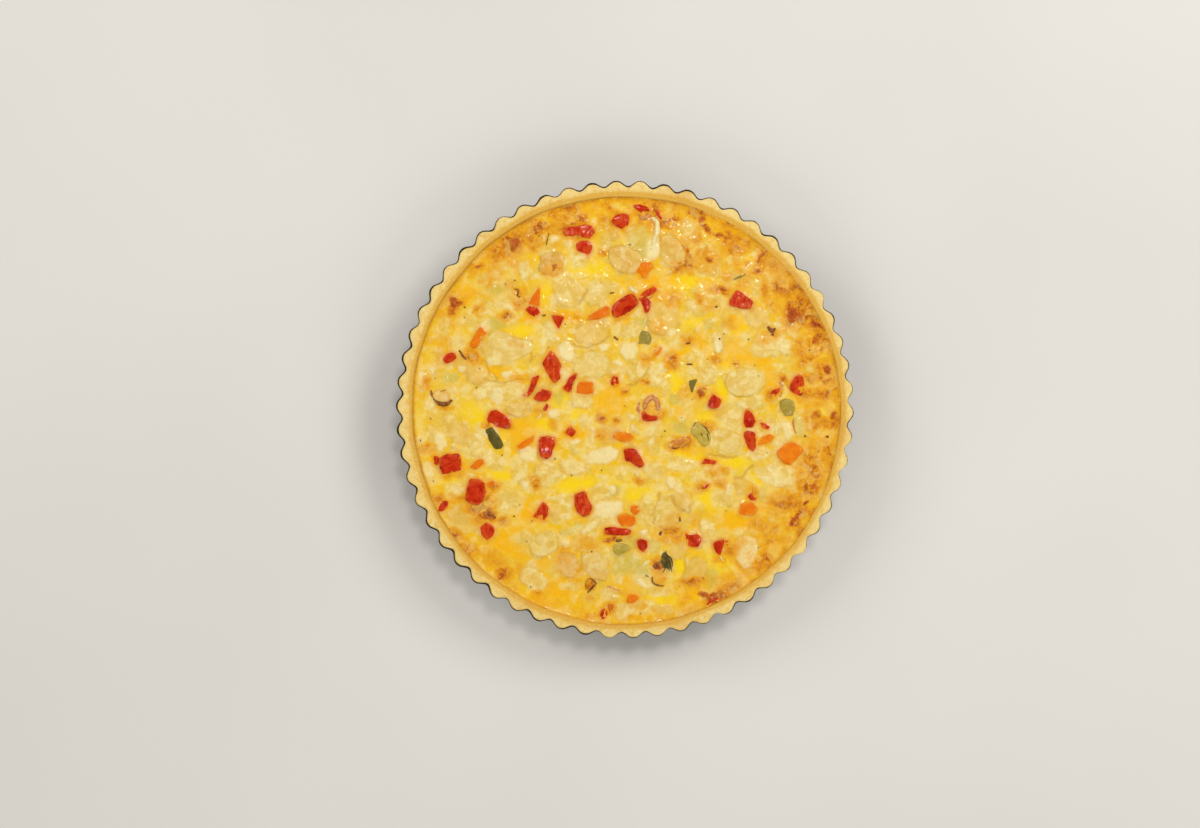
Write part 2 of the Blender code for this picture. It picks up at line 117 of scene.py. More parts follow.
# Those too slight for the frame. The small white ones near (4, -4), (4, -10), (15, -18), (20, 23), (-4, 26)
# and (89, -11) are partly painted highlight.
SLIGHT_LUMPS = (
    ("green", 0.25, ((1, 99), (4, 101), (9, 101.5), (13, 99), (14.5, 95), (13, 91.5), (9, 90), (5, 90.5),
        (1, 93))),
    ("white", 0.2, ((13, 89.5), (17, 92), (19.5, 89), (18.5, 84), (15, 81), (11.5, 83))),
    ("toasted", 0.6, ((38, 84), (40, 88), (45, 89), (50, 87), (52.5, 82), (53, 77), (50, 72.5),
        (45, 73.5), (40, 75), (37, 79))),
    ("cream", 0.3, ((31, 104), (35, 105), (38, 101), (37.5, 96), (34, 94.5), (31, 97))),
    ("tan", 0.4, ((77, 85), (81, 85.5), (84, 82), (87, 77), (88, 72), (85, 69.5), (80, 69), (76, 71.5),
        (75.5, 77))),
    ("cream", 0.45, ((-37, 70), (-31, 71.5), (-25, 69), (-21.5, 65), (-23, 60), (-27, 56), (-33, 55.5),
        (-37, 59), (-38.5, 64))),
    ("cream", 0.45, ((-20, 67), (-15, 69.5), (-9, 70), (-6.5, 66.5), (-10, 61), (-14, 57), (-19, 56.5),
        (-22, 60))),
    ("cream", 0.25, ((-58, 80), (-53, 81.5), (-51, 77), (-53, 71), (-57, 70))),
    ("cream", 0.2, ((-50, 96), (-44, 96), (-43, 91), (-47, 88.5), (-51, 91))),
    ("white", 0.15, ((-41, 95.5), (-37, 96), (-35.5, 93), (-38, 91), (-41, 92))),
    ("tan", 0.3, ((-9, 99), (-4, 99.5), (-2.5, 95), (-5, 92.5), (-8.5, 94))),
    ("white", 0.15, ((-58, 36), (-53, 36), (-52, 33), (-55, 30.5), (-58.5, 31.5))),
    ("white", 0.25, ((-67, 20.5), (-62, 20.8), (-61, 18.5), (-64, 17.3), (-67.5, 18))),
    ("tan", 0.5, ((-89, 31), (-84, 31.5), (-80, 29), (-77.5, 24), (-75.5, 18), (-76, 13), (-80, 12.5),
        (-85, 15), (-88, 20), (-90, 26))),
    ("cream", 0.5, ((-84, 9), (-79, 14), (-72, 15.5), (-64, 15), (-56, 14.8), (-52.5, 11), (-52, 7),
        (-57, 5.5), (-63, 5), (-69, 5), (-75, 6), (-80, 4.5))),
    ("white", 0.3, ((-91, 23.5), (-88.5, 24.5), (-86.8, 22.5), (-88, 20.2), (-90.5, 20.8))),
    ("white", 0.6, ((-33.5, 37), (-30.5, 37.5), (-28, 34), (-27, 29.5), (-28.5, 26), (-32, 26),
        (-35.5, 29), (-36.5, 33))),
    ("cream", 0.3, ((-43, 47.5), (-40, 48), (-37, 44.5), (-38, 39), (-40.5, 36.5), (-43, 40))),
    ("cream", 0.3, ((-36, 23), (-33, 25), (-30, 22), (-31, 17), (-34, 15), (-36, 18))),
    ("tan", 0.8, ((-28, 41), (-25, 45.5), (-20, 47.5), (-15, 48.8), (-11, 47.5), (-8.8, 44), (-8.8, 40),
        (-11, 37), (-15, 36), (-20, 35.5), (-26, 37))),
    ("white", 0.15, ((-6.5, 27), (-3, 28), (-1, 25.5), (-3, 24), (-6, 24.5))),
    ("white", 0.2, ((-15, 35), (-11, 36.5), (-8, 35), (-9, 32), (-13, 31.5))),
    ("cream", 0.6, ((-29, 8.5), (-25, 8.3), (-18.5, 7.8), (-17.3, 3.5), (-19.5, 1), (-26.5, 0.7),
        (-29.3, 3.5))),
    ("tan", 0.8, ((12.5, 54), (16, 58), (21, 58.5), (26, 56.8), (29, 53), (30, 49), (28.5, 45), (25, 42),
        (20, 40.5), (16, 41), (13, 44), (12, 49))),
    ("white", 0.2, ((24, 44), (28, 44), (28.5, 41), (26, 39.5), (23.5, 40.5))),
    ("white", 0.2, ((17.5, 24.5), (21.5, 25.5), (23, 22), (21.5, 19.5), (18, 20.5))),
    ("cream", 0.8, ((1, 19), (1.5, 22), (4, 24.3), (8, 24.7), (11.3, 23), (12, 20), (10.5, 17), (7, 15.3),
        (3, 15.5))),
    ("cream", 0.4, ((13, 20), (17, 22), (20.5, 19), (21, 15), (18, 12), (14, 12.5), (12.5, 16))),
    ("white", 0.7, ((48.8, 39.5), (52.5, 40), (54, 36), (53, 31.5), (50, 30.3), (48.5, 34.5))),
    ("cream", 0.3, ((40, 25), (45, 26.5), (50, 24), (51.5, 19), (49, 14), (44, 13), (40, 16), (39, 21))),
    ("cream", 0.3, ((33, 60), (38, 60.5), (41, 57), (39, 53.5), (34, 54))),
    ("cream", 0.4, ((38, 55.5), (43, 56), (45.5, 53), (42, 50), (38, 51))),
    ("green", 0.3, ((43, 49.5), (48, 50), (50, 46.5), (47, 43.5), (43, 44.5))),
    ("cream", 0.3, ((34, 29.5), (37, 29.5), (38, 27), (36, 25.5), (33.5, 26.5))),
    ("cream", 0.3, ((35.5, 23.5), (39, 23.5), (40, 19), (38, 17), (36, 19))),
    ("cream", 0.4, ((-1, 45), (5, 48.5), (8, 44), (6, 39), (1, 38.5), (-2, 41))),
    ("white", 0.3, ((-1, 36), (6, 37), (8, 32), (5, 27), (0, 27), (-3, 31))),
    ("tan", 0.5, ((69, 57.5), (73, 56), (77, 52.5), (78.8, 48.5), (77, 45), (72, 44), (68, 46),
        (66, 50.5))),
    ("cream", 0.45, ((73, 41.5), (78, 40.5), (84, 40.5), (90, 38), (92.5, 33.5), (90, 29.5), (84, 30),
        (78, 28.5), (72, 28.5), (69, 31.5), (70, 37))),
    ("cream", 0.4, ((91.5, 43.5), (94, 44), (94.8, 40), (93, 37.3), (91, 39.5))),
    ("cream", 0.3, ((61, 5.5), (67, 6.5), (73, 8), (76, 4.5), (74, 0.5), (68, -0.5), (62, 1.5))),
    ("cream", 0.3, ((97, 25), (102, 26), (107, 23), (105, 19), (99, 20))),
    ("cream", 0.3, ((83, 49.5), (86.5, 49), (86, 45.5), (83, 44.5))),
    ("tan", 0.4, ((-96, -8), (-90, -6.5), (-85.5, -9.5), (-84.5, -15), (-87, -19.5), (-93, -18),
        (-97.5, -13))),
    ("cream", 0.45, ((-84.5, -12.5), (-80, -13), (-76, -17), (-76, -22), (-79, -26), (-84, -25.5),
        (-85.5, -19))),
    ("cream", 0.3, ((-111, -29), (-106.5, -28), (-103.5, -32), (-105, -37), (-109, -38), (-111.5, -33))),
    ("toasted", 0.3, ((-77, -45.5), (-72, -45), (-69, -49), (-70, -55.5), (-75, -56), (-77.5, -51))),
    ("tan", 0.4, ((-98, -56), (-90, -51), (-82, -52), (-78, -58), (-80, -66), (-88, -68.5), (-95, -64))),
    ("white", 0.3, ((-86, -35), (-83.5, -34.5), (-82.5, -36.5), (-84.5, -37.8))),
    ("white", 0.3, ((-58, -22), (-53, -20), (-48, -21), (-47.5, -26), (-51, -28.5), (-57, -27.5))),
    ("cream", 0.5, ((-49, -31), (-45, -28.5), (-40, -28.5), (-36.5, -31.5), (-35.5, -36), (-38.5, -40),
        (-42, -43), (-46, -42), (-46.5, -38), (-49.5, -35))),
    ("toasted", 0.5, ((-51, -36.5), (-48.5, -35.5), (-46.3, -38), (-46.3, -42.5), (-49, -44),
        (-51.3, -41))),
    ("white", 0.3, ((-57, -39), (-54, -38.5), (-52.5, -41.5), (-54.5, -44), (-56.5, -42))),
    ("white", 0.3, ((-24, -26), (-17, -22), (-9, -20), (-3.5, -22), (-4, -27), (-9, -29.5), (-15, -30),
        (-21, -29.5))),
    ("cream", 0.3, ((-36, -28.5), (-30, -27), (-24, -28.5), (-18, -31.5), (-20, -34.5), (-27, -36),
        (-34, -35.5))),
    ("green", 0.3, ((-29.5, -20.5), (-26, -20), (-25, -23.5), (-28, -25), (-30, -23))),
    ("white", 0.2, ((-30, -17), (-26, -15.8), (-23.5, -17.5), (-26, -19.5), (-29.5, -19))),
    ("white", 0.2, ((-18.8, -9), (-16.8, -9), (-16.3, -18), (-18.3, -19))),
    ("tan", 0.3, ((-13, -8.5), (-6, -8), (-2, -11), (-5, -18.5), (-12, -19), (-15, -14))),
    ("white", 0.4, ((-16, -52.5), (-11, -50), (-5, -49.8), (-0.5, -51), (-1, -56), (-5.5, -59.5),
        (-12, -59.5), (-17, -58))),
    ("cream", 0.3, ((-19, -43.5), (-15, -40), (-11.5, -40.5), (-13, -44), (-17, -45.5))),
    ("white", 0.6, ((-8.8, -42), (-6, -41), (-4.3, -44), (-6, -47), (-8.5, -46))),
    ("tan", 0.4, ((-41, -55), (-36, -54), (-33.5, -58), (-36, -61.5), (-40.5, -60))),
    ("white", 0.2, ((-42, 0), (-37, 0.5), (-35.5, -3), (-39, -5), (-42, -3.5))),
    ("toasted", 0.7, ((12.3, -3.2), (16.8, -3.6), (19.4, -1.4), (18.6, 3.4), (15, 7), (11, 4.5),
        (10.2, 0))),
    ("white", 0.4, ((2.5, -3), (5, -2.5), (6, -4.5), (4, -6), (2.3, -5))),
    ("white", 0.3, ((3, -8.5), (5.3, -8), (5.5, -11.5), (3.5, -12.5))),
    ("white", 0.4, ((13.2, -16), (16, -15.5), (16.8, -18.5), (14.5, -20), (13, -18.5))),
    ("toasted", 0.3, ((46, -32.5), (53, -30.8), (58.5, -32), (57, -36), (50, -37), (45.5, -35))),
    ("tan", 0.8, ((26.8, -45.5), (33, -45), (36.3, -47), (36.3, -53), (33.5, -56.3), (29, -55),
        (26.3, -51))),
    ("white", 0.4, ((23, -38), (26.5, -36.5), (28, -40), (26.5, -43.5), (23.5, -42.5))),
    ("white", 0.5, ((55.3, -40.5), (57.2, -40.5), (57.2, -46), (55.5, -46.5))),
    ("cream", 0.3, ((55, -45), (60, -46), (60.5, -52), (56, -53), (53, -49))),
    ("cream", 0.2, ((13, -29), (19, -28), (22, -33), (20, -38), (13, -38), (10, -33))),
    ("white", 0.3, ((66.5, -10), (70, -10), (71.5, -12), (68.5, -12.8), (66, -11.8))),
    ("white", 0.3, ((85, -7.5), (89.5, -6.5), (91.5, -10), (92, -15), (88.5, -17), (86.5, -12))),
    ("white", 0.5, ((99.5, -4.5), (101.5, -4.5), (103, -10), (102, -13.5), (100, -11))),
    ("green", 0.4, ((92, -3), (97, -3), (99.5, -8), (98.5, -14), (94, -15.5), (92, -10))),
    ("cream", 0.4, ((71.5, -21), (78.5, -20.5), (80.5, -24), (76, -28.5), (71.5, -26.5))),
    ("cream", 0.4, ((70, -31.5), (76, -31.5), (82, -28.5), (88, -31), (94.5, -33), (96.5, -37),
        (93, -41.5), (86, -43), (78, -41), (72, -37))),
    ("tan", 0.3, ((60.5, -36.5), (66, -37), (68.5, -42), (66.5, -47.5), (61.5, -47), (59.5, -42))),
    ("white", 0.3, ((69.5, -41), (72.3, -41.5), (72.5, -46), (70, -46))),
    ("cream", 0.7, ((-57.5, -89), (-55, -86), (-50, -86.5), (-45, -90), (-42.3, -93.5), (-43, -97.5),
        (-46, -99.7), (-50, -99), (-53, -96.5), (-57, -94))),
    ("white", 0.3, ((-35, -71.5), (-31, -71), (-29.5, -74), (-32, -76.5), (-35.5, -75))),
    ("green", 0.4, ((-36, -65.5), (-30, -64.5), (-26.5, -67), (-30, -69), (-35.5, -68.5))),
    ("white", 0.4, ((-24, -66.5), (-20, -62.5), (-15.5, -60.5), (-15, -63.5), (-18.5, -66.5),
        (-23, -68.5))),
    ("tan", 0.3, ((-28, -69), (-22, -67.8), (-16.5, -70), (-15.5, -75), (-18, -79.5), (-24, -78),
        (-28.5, -75))),
    ("toasted", 0.5, ((-19, -92.3), (-15.8, -95.5), (-20.3, -99.3), (-21, -96))),
    ("toasted", 0.4, ((-24, -102.5), (-19, -100.5), (-15, -103.5), (-19, -104.8))),
    ("toasted", 0.5, ((-9.5, -97), (-5, -97.5), (0.5, -100.5), (-4, -100.8), (-9, -99.3))),
    ("cream", 0.3, ((-9.5, -100.5), (-4, -101.5), (-2, -103.5), (-6.5, -104.5), (-10, -103))),
    ("cream", 0.3, ((-5, -106), (2, -105.5), (5, -110), (2, -114.5), (-4, -115), (-7, -110.5))),
    ("white", 0.3, ((8.5, -65.5), (12, -65), (13, -67.5), (10.5, -69), (8, -68))),
    ("white", 0.4, ((21.5, -70), (25, -70), (25.5, -73), (22.5, -74), (21, -72))),
    ("tan", 0.4, ((26, -70), (32, -70), (34, -75), (32.5, -81), (27, -82.5), (24.5, -77))),
    ("green", 0.3, ((13, -70), (19, -71), (21, -75), (17, -79), (12.5, -78))),
    ("toasted", 0.7, ((15.3, -91.3), (18.5, -90), (22, -90.5), (23, -93), (21, -95.3), (17, -95.5),
        (15.3, -93.8))),
    ("tan", 1.0, ((34.5, -84.5), (37, -81.5), (41, -80.8), (44.6, -83.5), (44.6, -88), (42.5, -93),
        (39, -96), (34, -95.8), (31, -94.5), (33, -90.5))),
    ("cream", 0.5, ((40.7, -61), (45.5, -59.8), (49, -62), (49.3, -67.5), (46.3, -72), (43, -72),
        (41.3, -68))),
    ("white", 0.3, ((6.5, -92.5), (9, -92), (12, -95), (12.5, -98), (9, -97.5), (7, -95))),
    ("tan", 0.3, ((16.5, -107), (23, -106.5), (28, -108), (26, -112), (19, -112.5), (16, -110))),
    ("white", 0.6, ((60.3, -72.5), (64, -69.3), (69, -69), (72, -71), (72.8, -76), (71.8, -81),
        (69.5, -86), (65.5, -88.3), (62, -85.5), (60.3, -80))),
    ("white", 0.1, ((-104, -14), (-99, -13), (-97, -19), (-100, -24), (-104, -21))),
    ("white", 0.1, ((-72, 12), (-67, 12), (-66, 4), (-70, 2), (-73, 6))),
    ("white", 0.1, ((-112, 21), (-108.5, 20), (-108, 12), (-111, 9), (-113, 14))),
    ("cream", 0.4, ((60.5, -90.5), (65, -90), (66.5, -94.5), (64, -98), (60, -96.5))),
)
LUMPS = CLEAR_LUMPS + SLIGHT_LUMPS
# Red pepper: how much flesh, rather than skin, shows, and the outline.
PEPPERS = (
    (0.0, ((-7.6, 55.8), (-4.5, 58.5), (0, 61.3), (4, 63.2), (5.8, 61.5), (7.5, 58), (4, 54.4), (-1, 51),
        (-4, 49.3), (-6.3, 51.5))),
    (0.05, ((-101, -26.3), (-97, -24.7), (-90.4, -24.3), (-89.6, -29), (-89.3, -33.8), (-95, -34.5),
        (-99.5, -35.2), (-101, -31.5))),
    (0.15, ((-75, -5), (-73, -1.2), (-70, -0.6), (-66, -3), (-63, -6), (-62.2, -9.5), (-64, -10.4),
        (-68, -9.8), (-72, -9), (-74.6, -6.8))),
    (0.1, ((-84.6, -38.4), (-80, -38.3), (-77, -40.4), (-75.4, -44), (-76.5, -47.3), (-79.4, -52),
        (-84, -51.4), (-87.2, -49), (-86, -43.5))),
    (0.3, ((-46.6, -15.3), (-42, -14.9), (-38, -15.8), (-37.7, -19), (-39.8, -22), (-40.3, -25.3),
        (-42.5, -26.7), (-45.6, -25.6), (-46.6, -20))),
    (0.65, ((-40.5, 31.6), (-38.3, 29.7), (-36.3, 27), (-35.2, 24), (-35.8, 20), (-35.5, 17),
        (-38.5, 14.4), (-40.5, 17), (-42, 20), (-44.3, 23), (-44.7, 25.5), (-42.3, 28.5))),
    (0.1, ((-0.2, -22), (2.6, -21.4), (6, -22), (7.7, -25), (10.4, -30), (8.3, -31.5), (5.6, -30),
        (2.6, -28.2), (0.6, -28.4), (0, -25.6))),
    (0.5, ((57.3, 56.8), (58.3, 60.5), (61.2, 65.2), (66, 62), (69.8, 59), (69, 55.3), (64, 55.5))),
    (0.7, ((96, 19), (93, 17.5), (91, 14), (90.3, 12), (92, 9), (95.3, 7.3), (97.7, 8.5), (97.7, 13),
        (97.3, 17.5))),
    (0.75, ((-27.3, -46.5), (-22, -44.7), (-20.3, -49), (-17.8, -53), (-19.4, -57.2), (-22.5, -58.3),
        (-25.6, -56.2), (-27.2, -51))),
    (0.4, ((-79, -64.5), (-75.3, -61.8), (-70.8, -65), (-72.3, -69), (-75, -71.3), (-77.5, -69.5))),
    (0.1, ((-10.7, -64.8), (-5, -64.3), (0, -65), (3.2, -66.2), (2.7, -68), (-4, -69), (-10.7, -68))),
    (0.1, ((66.5, -0.3), (68.8, -2), (71.5, -6.3), (69.5, -9.6), (66, -9.6), (64.8, -6))),
    (0.3, ((65.3, -13), (67.3, -11.8), (71.2, -12.8), (71.7, -17), (71.2, -21), (69.8, -22.7),
        (67.5, -20.3), (66, -16.5))),
    (0.4, ((-46.5, 18.6), (-48.3, 14.5), (-49.8, 10.5), (-52.5, 7.3), (-55.5, 7.5), (-52.5, 10),
        (-50.8, 15), (-50.2, 17.3))),
    (0.2, ((-49.7, 6), (-48, 8.3), (-45.5, 11.2), (-42, 10), (-40.2, 9.3), (-41, 6.3), (-42.5, 5),
        (-46, 4.6))),
    (0.55, ((-33.6, 97.6), (-30, 99.6), (-26, 99.6), (-22, 101), (-17.6, 100), (-16.6, 96.8),
        (-19.2, 93.6), (-23, 94.6), (-26.5, 95.6), (-29.5, 95.2), (-32.4, 94.8))),
    (0.5, ((-26.5, 90), (-24, 92), (-20, 92), (-18, 89.5), (-18.5, 86), (-20.3, 83.8), (-23, 86),
        (-26, 87))),
    (0.3, ((-7, 103), (-5, 106), (-1, 107), (2.5, 106), (2, 101.5), (0, 98.5), (-3.5, 99.5), (-6, 101))),
    (0.1, ((4.8, 111.5), (8, 112), (12, 110.5), (13.5, 108.5), (10, 109), (8.5, 107.5), (6.8, 109))),
    (0.85, ((8, 61.5), (11, 64.5), (15.5, 66.8), (17.5, 65.5), (15, 63), (11, 61.5), (9, 60.8))),
    (0.4, ((-33.7, 11.5), (-31.5, 14), (-30.3, 17), (-26.2, 19.8), (-27, 17), (-29, 15), (-28.8, 11),
        (-30.5, 9.4))),
    (0.4, ((32.8, -67.3), (36, -68.8), (40, -68.3), (41.7, -71), (40.3, -74.6), (35, -74.7),
        (34.3, -71.5))),
    (0.2, ((48.3, -73.3), (51, -71.8), (54.3, -71.3), (53.5, -75), (52, -79.3), (50.3, -78), (49, -76))),
    (0.3, ((-104.2, -25.7), (-101.8, -26.2), (-102, -30), (-104, -29.8))),
    (0.3, ((16.8, 109), (18.5, 108.5), (20.3, 105), (20.3, 103.5), (18.5, 105))),
    (0.3, ((7.6, 60.6), (11.4, 61.2), (14, 59), (13.2, 54), (11.6, 52.8), (10.4, 56.5))),
    (0.6, ((78.3, 6.8), (81, 10.3), (85, 11.5), (84.5, 9.5), (81.5, 7), (79.5, 6))),
    (0.4, ((45.8, 2), (46.5, 5.3), (48.3, 8.3), (50.3, 6.5), (52.5, 5.5), (52, 2), (49.8, 1), (47.3, 0.7))),
    (0.7, ((74, -7.3), (76.5, -8), (79.2, -9.8), (78, -10.7), (75.3, -9.8))),
    (0.6, ((42.3, -29.7), (44, -27), (47, -27.8), (50, -28.3), (49, -29.8), (45, -29.3))),
    (0.15, ((42.3, -43.2), (45, -40.8), (46.3, -41), (44.5, -43))),
    (0.6, ((67.4, -47.4), (69, -45.6), (70.6, -45.6), (72, -48), (71, -50.1), (69, -49.4))),
    (0.1, ((9.3, -1.8), (10.7, -1.2), (12.4, -3), (15.2, -3.9), (17.8, -3.7), (17.3, -5.8), (12.5, -6.4),
        (9.6, -6))),
    (0.8, ((-7.5, 15), (-6.5, 18.3), (-4.3, 18), (-3.5, 14.5), (-5, 13), (-7, 13.3))),
    (0.5, ((-54, 54.6), (-51.5, 56.7), (-47.5, 55.3), (-46.3, 52.6), (-49, 50.8), (-52, 52))),
    (0.2, ((-39.5, 51.2), (-36.3, 51), (-33.3, 50.3), (-34.8, 47.2), (-36, 44.2), (-38, 47.6))),
    (0.1, ((-99, 27.5), (-97.7, 25.2), (-95, 26), (-92.3, 28), (-92.7, 30.3), (-95.5, 31.3), (-98, 30))),
    (0.2, ((-102.2, -55.2), (-99.8, -50), (-97, -50.3), (-96.8, -53), (-100, -55.6))),
    (0.5, ((-32.5, -12.7), (-29.6, -9.4), (-26.8, -12.2), (-29, -14.7))),
    (0.7, ((-49.7, -58.7), (-46.3, -53.3), (-44.5, -50.6), (-42.3, -53), (-41.9, -57), (-44, -60.3),
        (-46.8, -59.5))),
    (0.3, ((6.9, -72), (9, -70.9), (12.1, -72), (12.1, -75), (10, -77.7), (7.8, -75.6))),
    (0.5, ((54.8, -71.8), (56.8, -71.8), (56.3, -74), (55.2, -73.8))),
    (0.5, ((44.8, -106.6), (46.5, -103.8), (50, -102.8), (52.8, -103.6), (51, -105.6), (48, -107.2),
        (45.8, -108.3))),
    (0.7, ((-13.7, -112.3), (-12.3, -109.3), (-10.3, -108.8), (-9.6, -112), (-11.8, -115))),
    (0.8, ((-9.3, -107), (-7.5, -106), (-6.3, -108.5), (-8, -111))),
    (0.1, ((-44.5, 0.5), (-42.5, 3), (-41.7, 1), (-43.5, -1))),
)
CARROTS = (
    ((-79, 45.3), (-75.4, 41.6), (-78, 38), (-81, 34), (-83, 33.4), (-84.3, 35.5), (-82, 40)),
    ((-46.5, 67), (-46.8, 60), (-46.5, 56.5), (-52.5, 57.3), (-50, 62)),
    ((-20.5, 49.5), (-17, 52.5), (-13, 54.5), (-10, 56.5), (-7.8, 55), (-8.5, 50.8), (-13, 50), (-18, 49)),
    ((9, 79.7), (14, 80.2), (15.2, 78), (13.3, 75.5), (12, 71.8), (9.8, 71.8), (8.3, 74.5), (6, 75.3),
        (7.8, 77.5)),
    ((-25.7, 14.4), (-22, 15), (-17.5, 14.6), (-17, 11.5), (-17.6, 8.7), (-22, 8.5), (-26, 9)),
    ((-6.5, -12.7), (-3, -12.3), (2.5, -13.3), (4.8, -15.3), (2.8, -17.8), (-2, -17), (-6.3, -15.5)),
    ((72.8, -17.5), (76, -14.8), (79.3, -13.8), (81.3, -15), (79, -18), (73, -19.6)),
    ((83.3, -23.2), (88, -18.8), (91, -17.8), (97.7, -21.5), (97, -23.3), (93, -27.3), (90.5, -30.3),
        (87.5, -29), (84, -26)),
    ((63.5, -51.8), (66.5, -50.8), (70, -50.8), (72.2, -54), (70.7, -57.6), (66, -57.8), (62.6, -56.8),
        (63, -53.8)),
    ((-3.5, -58.5), (0, -57.3), (5.5, -58.3), (6, -62), (3, -64.2), (-1.5, -63.5), (-3.2, -61.5)),
    ((1.7, -101), (6, -101.4), (7.7, -103), (5, -105.3), (1.3, -105.5)),
    ((-84.2, -31.3), (-80.5, -28), (-77.3, -27.2), (-76.8, -29.3), (-80.5, -32.3), (-83, -32.5)),
    ((3.3, -52.8), (8.2, -52.8), (7.6, -56), (5.5, -57.5), (3.5, -55.5)),
    ((-58.5, -20), (-54, -17), (-49.7, -14.8), (-50.3, -17), (-54.5, -21.3), (-57.5, -21.8)),
    ((17.3, 34.7), (20.2, 33.7), (18.3, 30), (16, 28.7), (15.8, 31)),
    ((-75, -40.5), (-72.5, -39), (-71, -41), (-72, -43.5), (-74, -43)),
)
# Green pepper and leek: how dark, and the outline.
GREENS = (
    (0.95, ((-76, -11.4), (-72.8, -9.6), (-69.2, -14.2), (-66.2, -19.5), (-67.7, -21.3), (-70.7, -21.7),
        (-74.3, -16.5))),
    (0.3, ((84.8, 4.5), (88, 5.8), (92, 4.5), (93, 0), (91.5, -3.5), (87.5, -3.5), (85, 0))),
    (0.03, ((36.8, -9.8), (39.8, -6.8), (43.3, -9), (46.6, -12.3), (47.2, -16), (45.8, -19.3),
        (43, -20.2), (40, -17), (36.5, -12.5))),
    (0.8, ((21, -78.5), (22.8, -78), (24.4, -82), (25.2, -87), (23, -86.5), (20.5, -86), (19.6, -83))),
    (0.45, ((8.5, 41.3), (10.3, 43.3), (13, 42.3), (14.6, 40), (14.2, 37), (13.2, 35.3), (10.5, 36.3),
        (7.8, 35.8), (8, 38.5))),
    (0.75, ((34.7, 15.5), (39.6, 16.4), (38, 12.7), (36.6, 9.3), (35.7, 12.5))),
    (0.15, ((-6.4, -74.5), (-3, -73.2), (1.5, -74), (3.5, -76), (-0.5, -78.5), (-3.5, -80), (-6, -78.2))),
    (0.9, ((-4.8, -71.3), (-1.5, -71), (-1.7, -72.2), (-4.6, -72.4))),
    (0.6, ((59.5, 71.5), (66, 74.3), (66.3, 73.4), (60, 70.6))),
)

# Soft patches with no clear edge: the middle's x and y, length, width, and the turn of the length from X,
# in millimetres and degrees. Cream and greenish ones lie over the food, lemon and amber ones are pools.
CREAM = (
    (-73, 71.5, 13, 7, 5), (-92, 37, 8, 6, 0), (-76, 47, 9, 5, 0), (-85, 48, 8, 5, 0), (-65, 59, 15, 9, 0),
    (45, 61, 8, 9, 0), (-57, -33, 9, 12, 0), (15, -12, 7, 8, 0), (58, -3, 13, 12, 0), (102, 33, 9, 9, 0),
    (-63, -50, 15, 12, 0), (-14, -61, 13, 8, 20), (101, -5, 9, 9, 0), (105, -9, 7, 8, 0), (96, 36, 8, 8, 0),
    (-110, 16, 6, 12, 0), (-69, 7, 7, 10, 0), (9, -90, 11, 10, 0), (12, -56, 9, 16, 0), (-34, -50, 8, 8, 0),
    (52, -48, 9, 9, 0), (30, -63, 8, 8, 0), (-104, 21, 5, 12, 0), (-98, -7, 5, 7, 0), (-112, -17, 4, 5, 0),
    (-107, -39, 7, 4, 0), (61, 84, 7, 5, 0), (-25, 82, 10, 9, 0), (-37, 75, 8, 6, 0), (28, 36, 9, 6, 0),
    (-10, 91, 5, 10, 0), (66, 70, 9, 6, 0), (72, 86, 6, 6, 0), (60, -9, 9, 7, 0), (-38, 58, 6, 8, 0),
    (30, -30, 14, 8, 0), (-22, -7, 6, 8, 0), (80, -8, 5, 10, 0), (-70, -30, 9, 7, 0), (-92, -44, 12, 9, 0),
    (50, 56, 10, 6, 0), (-68, 79, 12, 8, 30), (-30, -97, 9, 5, 0), (-104, -14, 9, 11, 0),
    (-106, 2, 7, 12, 0), (20, -100, 12, 5, 0), (-99, 45, 8, 14, -20), (-101, 30, 6, 8, 0),
    (10, -108, 14, 8, 0), (34, -110, 12, 6, 20), (-10, -47, 12, 5, 0), (-31, -55, 5, 8, 0),
    (-3, -92, 6, 6, 0), (-56, -70, 8, 7, 0),
)
GREENISH = (
    (4, -73, 16, 8, 0), (0, -84, 14, 12, 0), (10, -86, 8, 9, 0), (47, -92, 9, 11, 0), (60, 73, 13, 5, 25),
    (68, 3, 15, 6, 0), (10, 48, 5, 9, 80), (-69, 47, 10, 6, 0), (-36, 6, 6, 8, 0), (28, 6, 7, 6, 0),
    (74, -47, 8, 6, 0), (-5, -44, 5, 6, 0), (56, 47, 8, 6, 0), (-50, 10, 6, 6, 0), (-95, 17, 8, 6, 0),
    (30, -10, 9, 6, 0), (-70, 66, 9, 6, 0), (9, 87, 9, 9, 0), (-62, 68, 7, 6, 0),
)
LEMON = (
    (-27, -3, 8, 6, 0), (-81, -2, 12, 14, 30), (-20, 77, 22, 9, -8), (36, 70, 24, 8, 0),
    (38, 48, 7, 14, -70), (28, 15, 9, 13, 0), (-35, 6, 10, 14, 0), (47, -48, 14, 13, 0),
    (60, -28, 16, 7, -3), (-26, -41, 28, 9, 5), (8, -46, 20, 8, 0), (30, -85, 7, 16, 0),
    (50, -84, 14, 12, 0), (16, -105, 26, 9, 5), (-55, 43, 16, 8, 0), (53, 12, 5, 20, 15), (44, -5, 9, 7, 0),
    (-50, 34, 8, 8, 0), (33, -109, 12, 7, 15), (-6, -40, 8, 6, 0), (57, 25, 8, 8, 0), (11, -111, 16, 6, 5),
    (-2, 115, 22, 4, 0), (62, 47, 9, 9, 0), (-44, 65, 8, 12, 0), (-44, -8, 14, 8, 0), (33, -25, 16, 6, 0),
    (-93, -25, 12, 4, 0), (-8, 86, 6, 9, 0), (-66, -13, 5, 12, 0), (-68, -35, 10, 8, 0), (74, -36, 6, 9, 0),
    (-95, -38, 10, 6, 0),
)
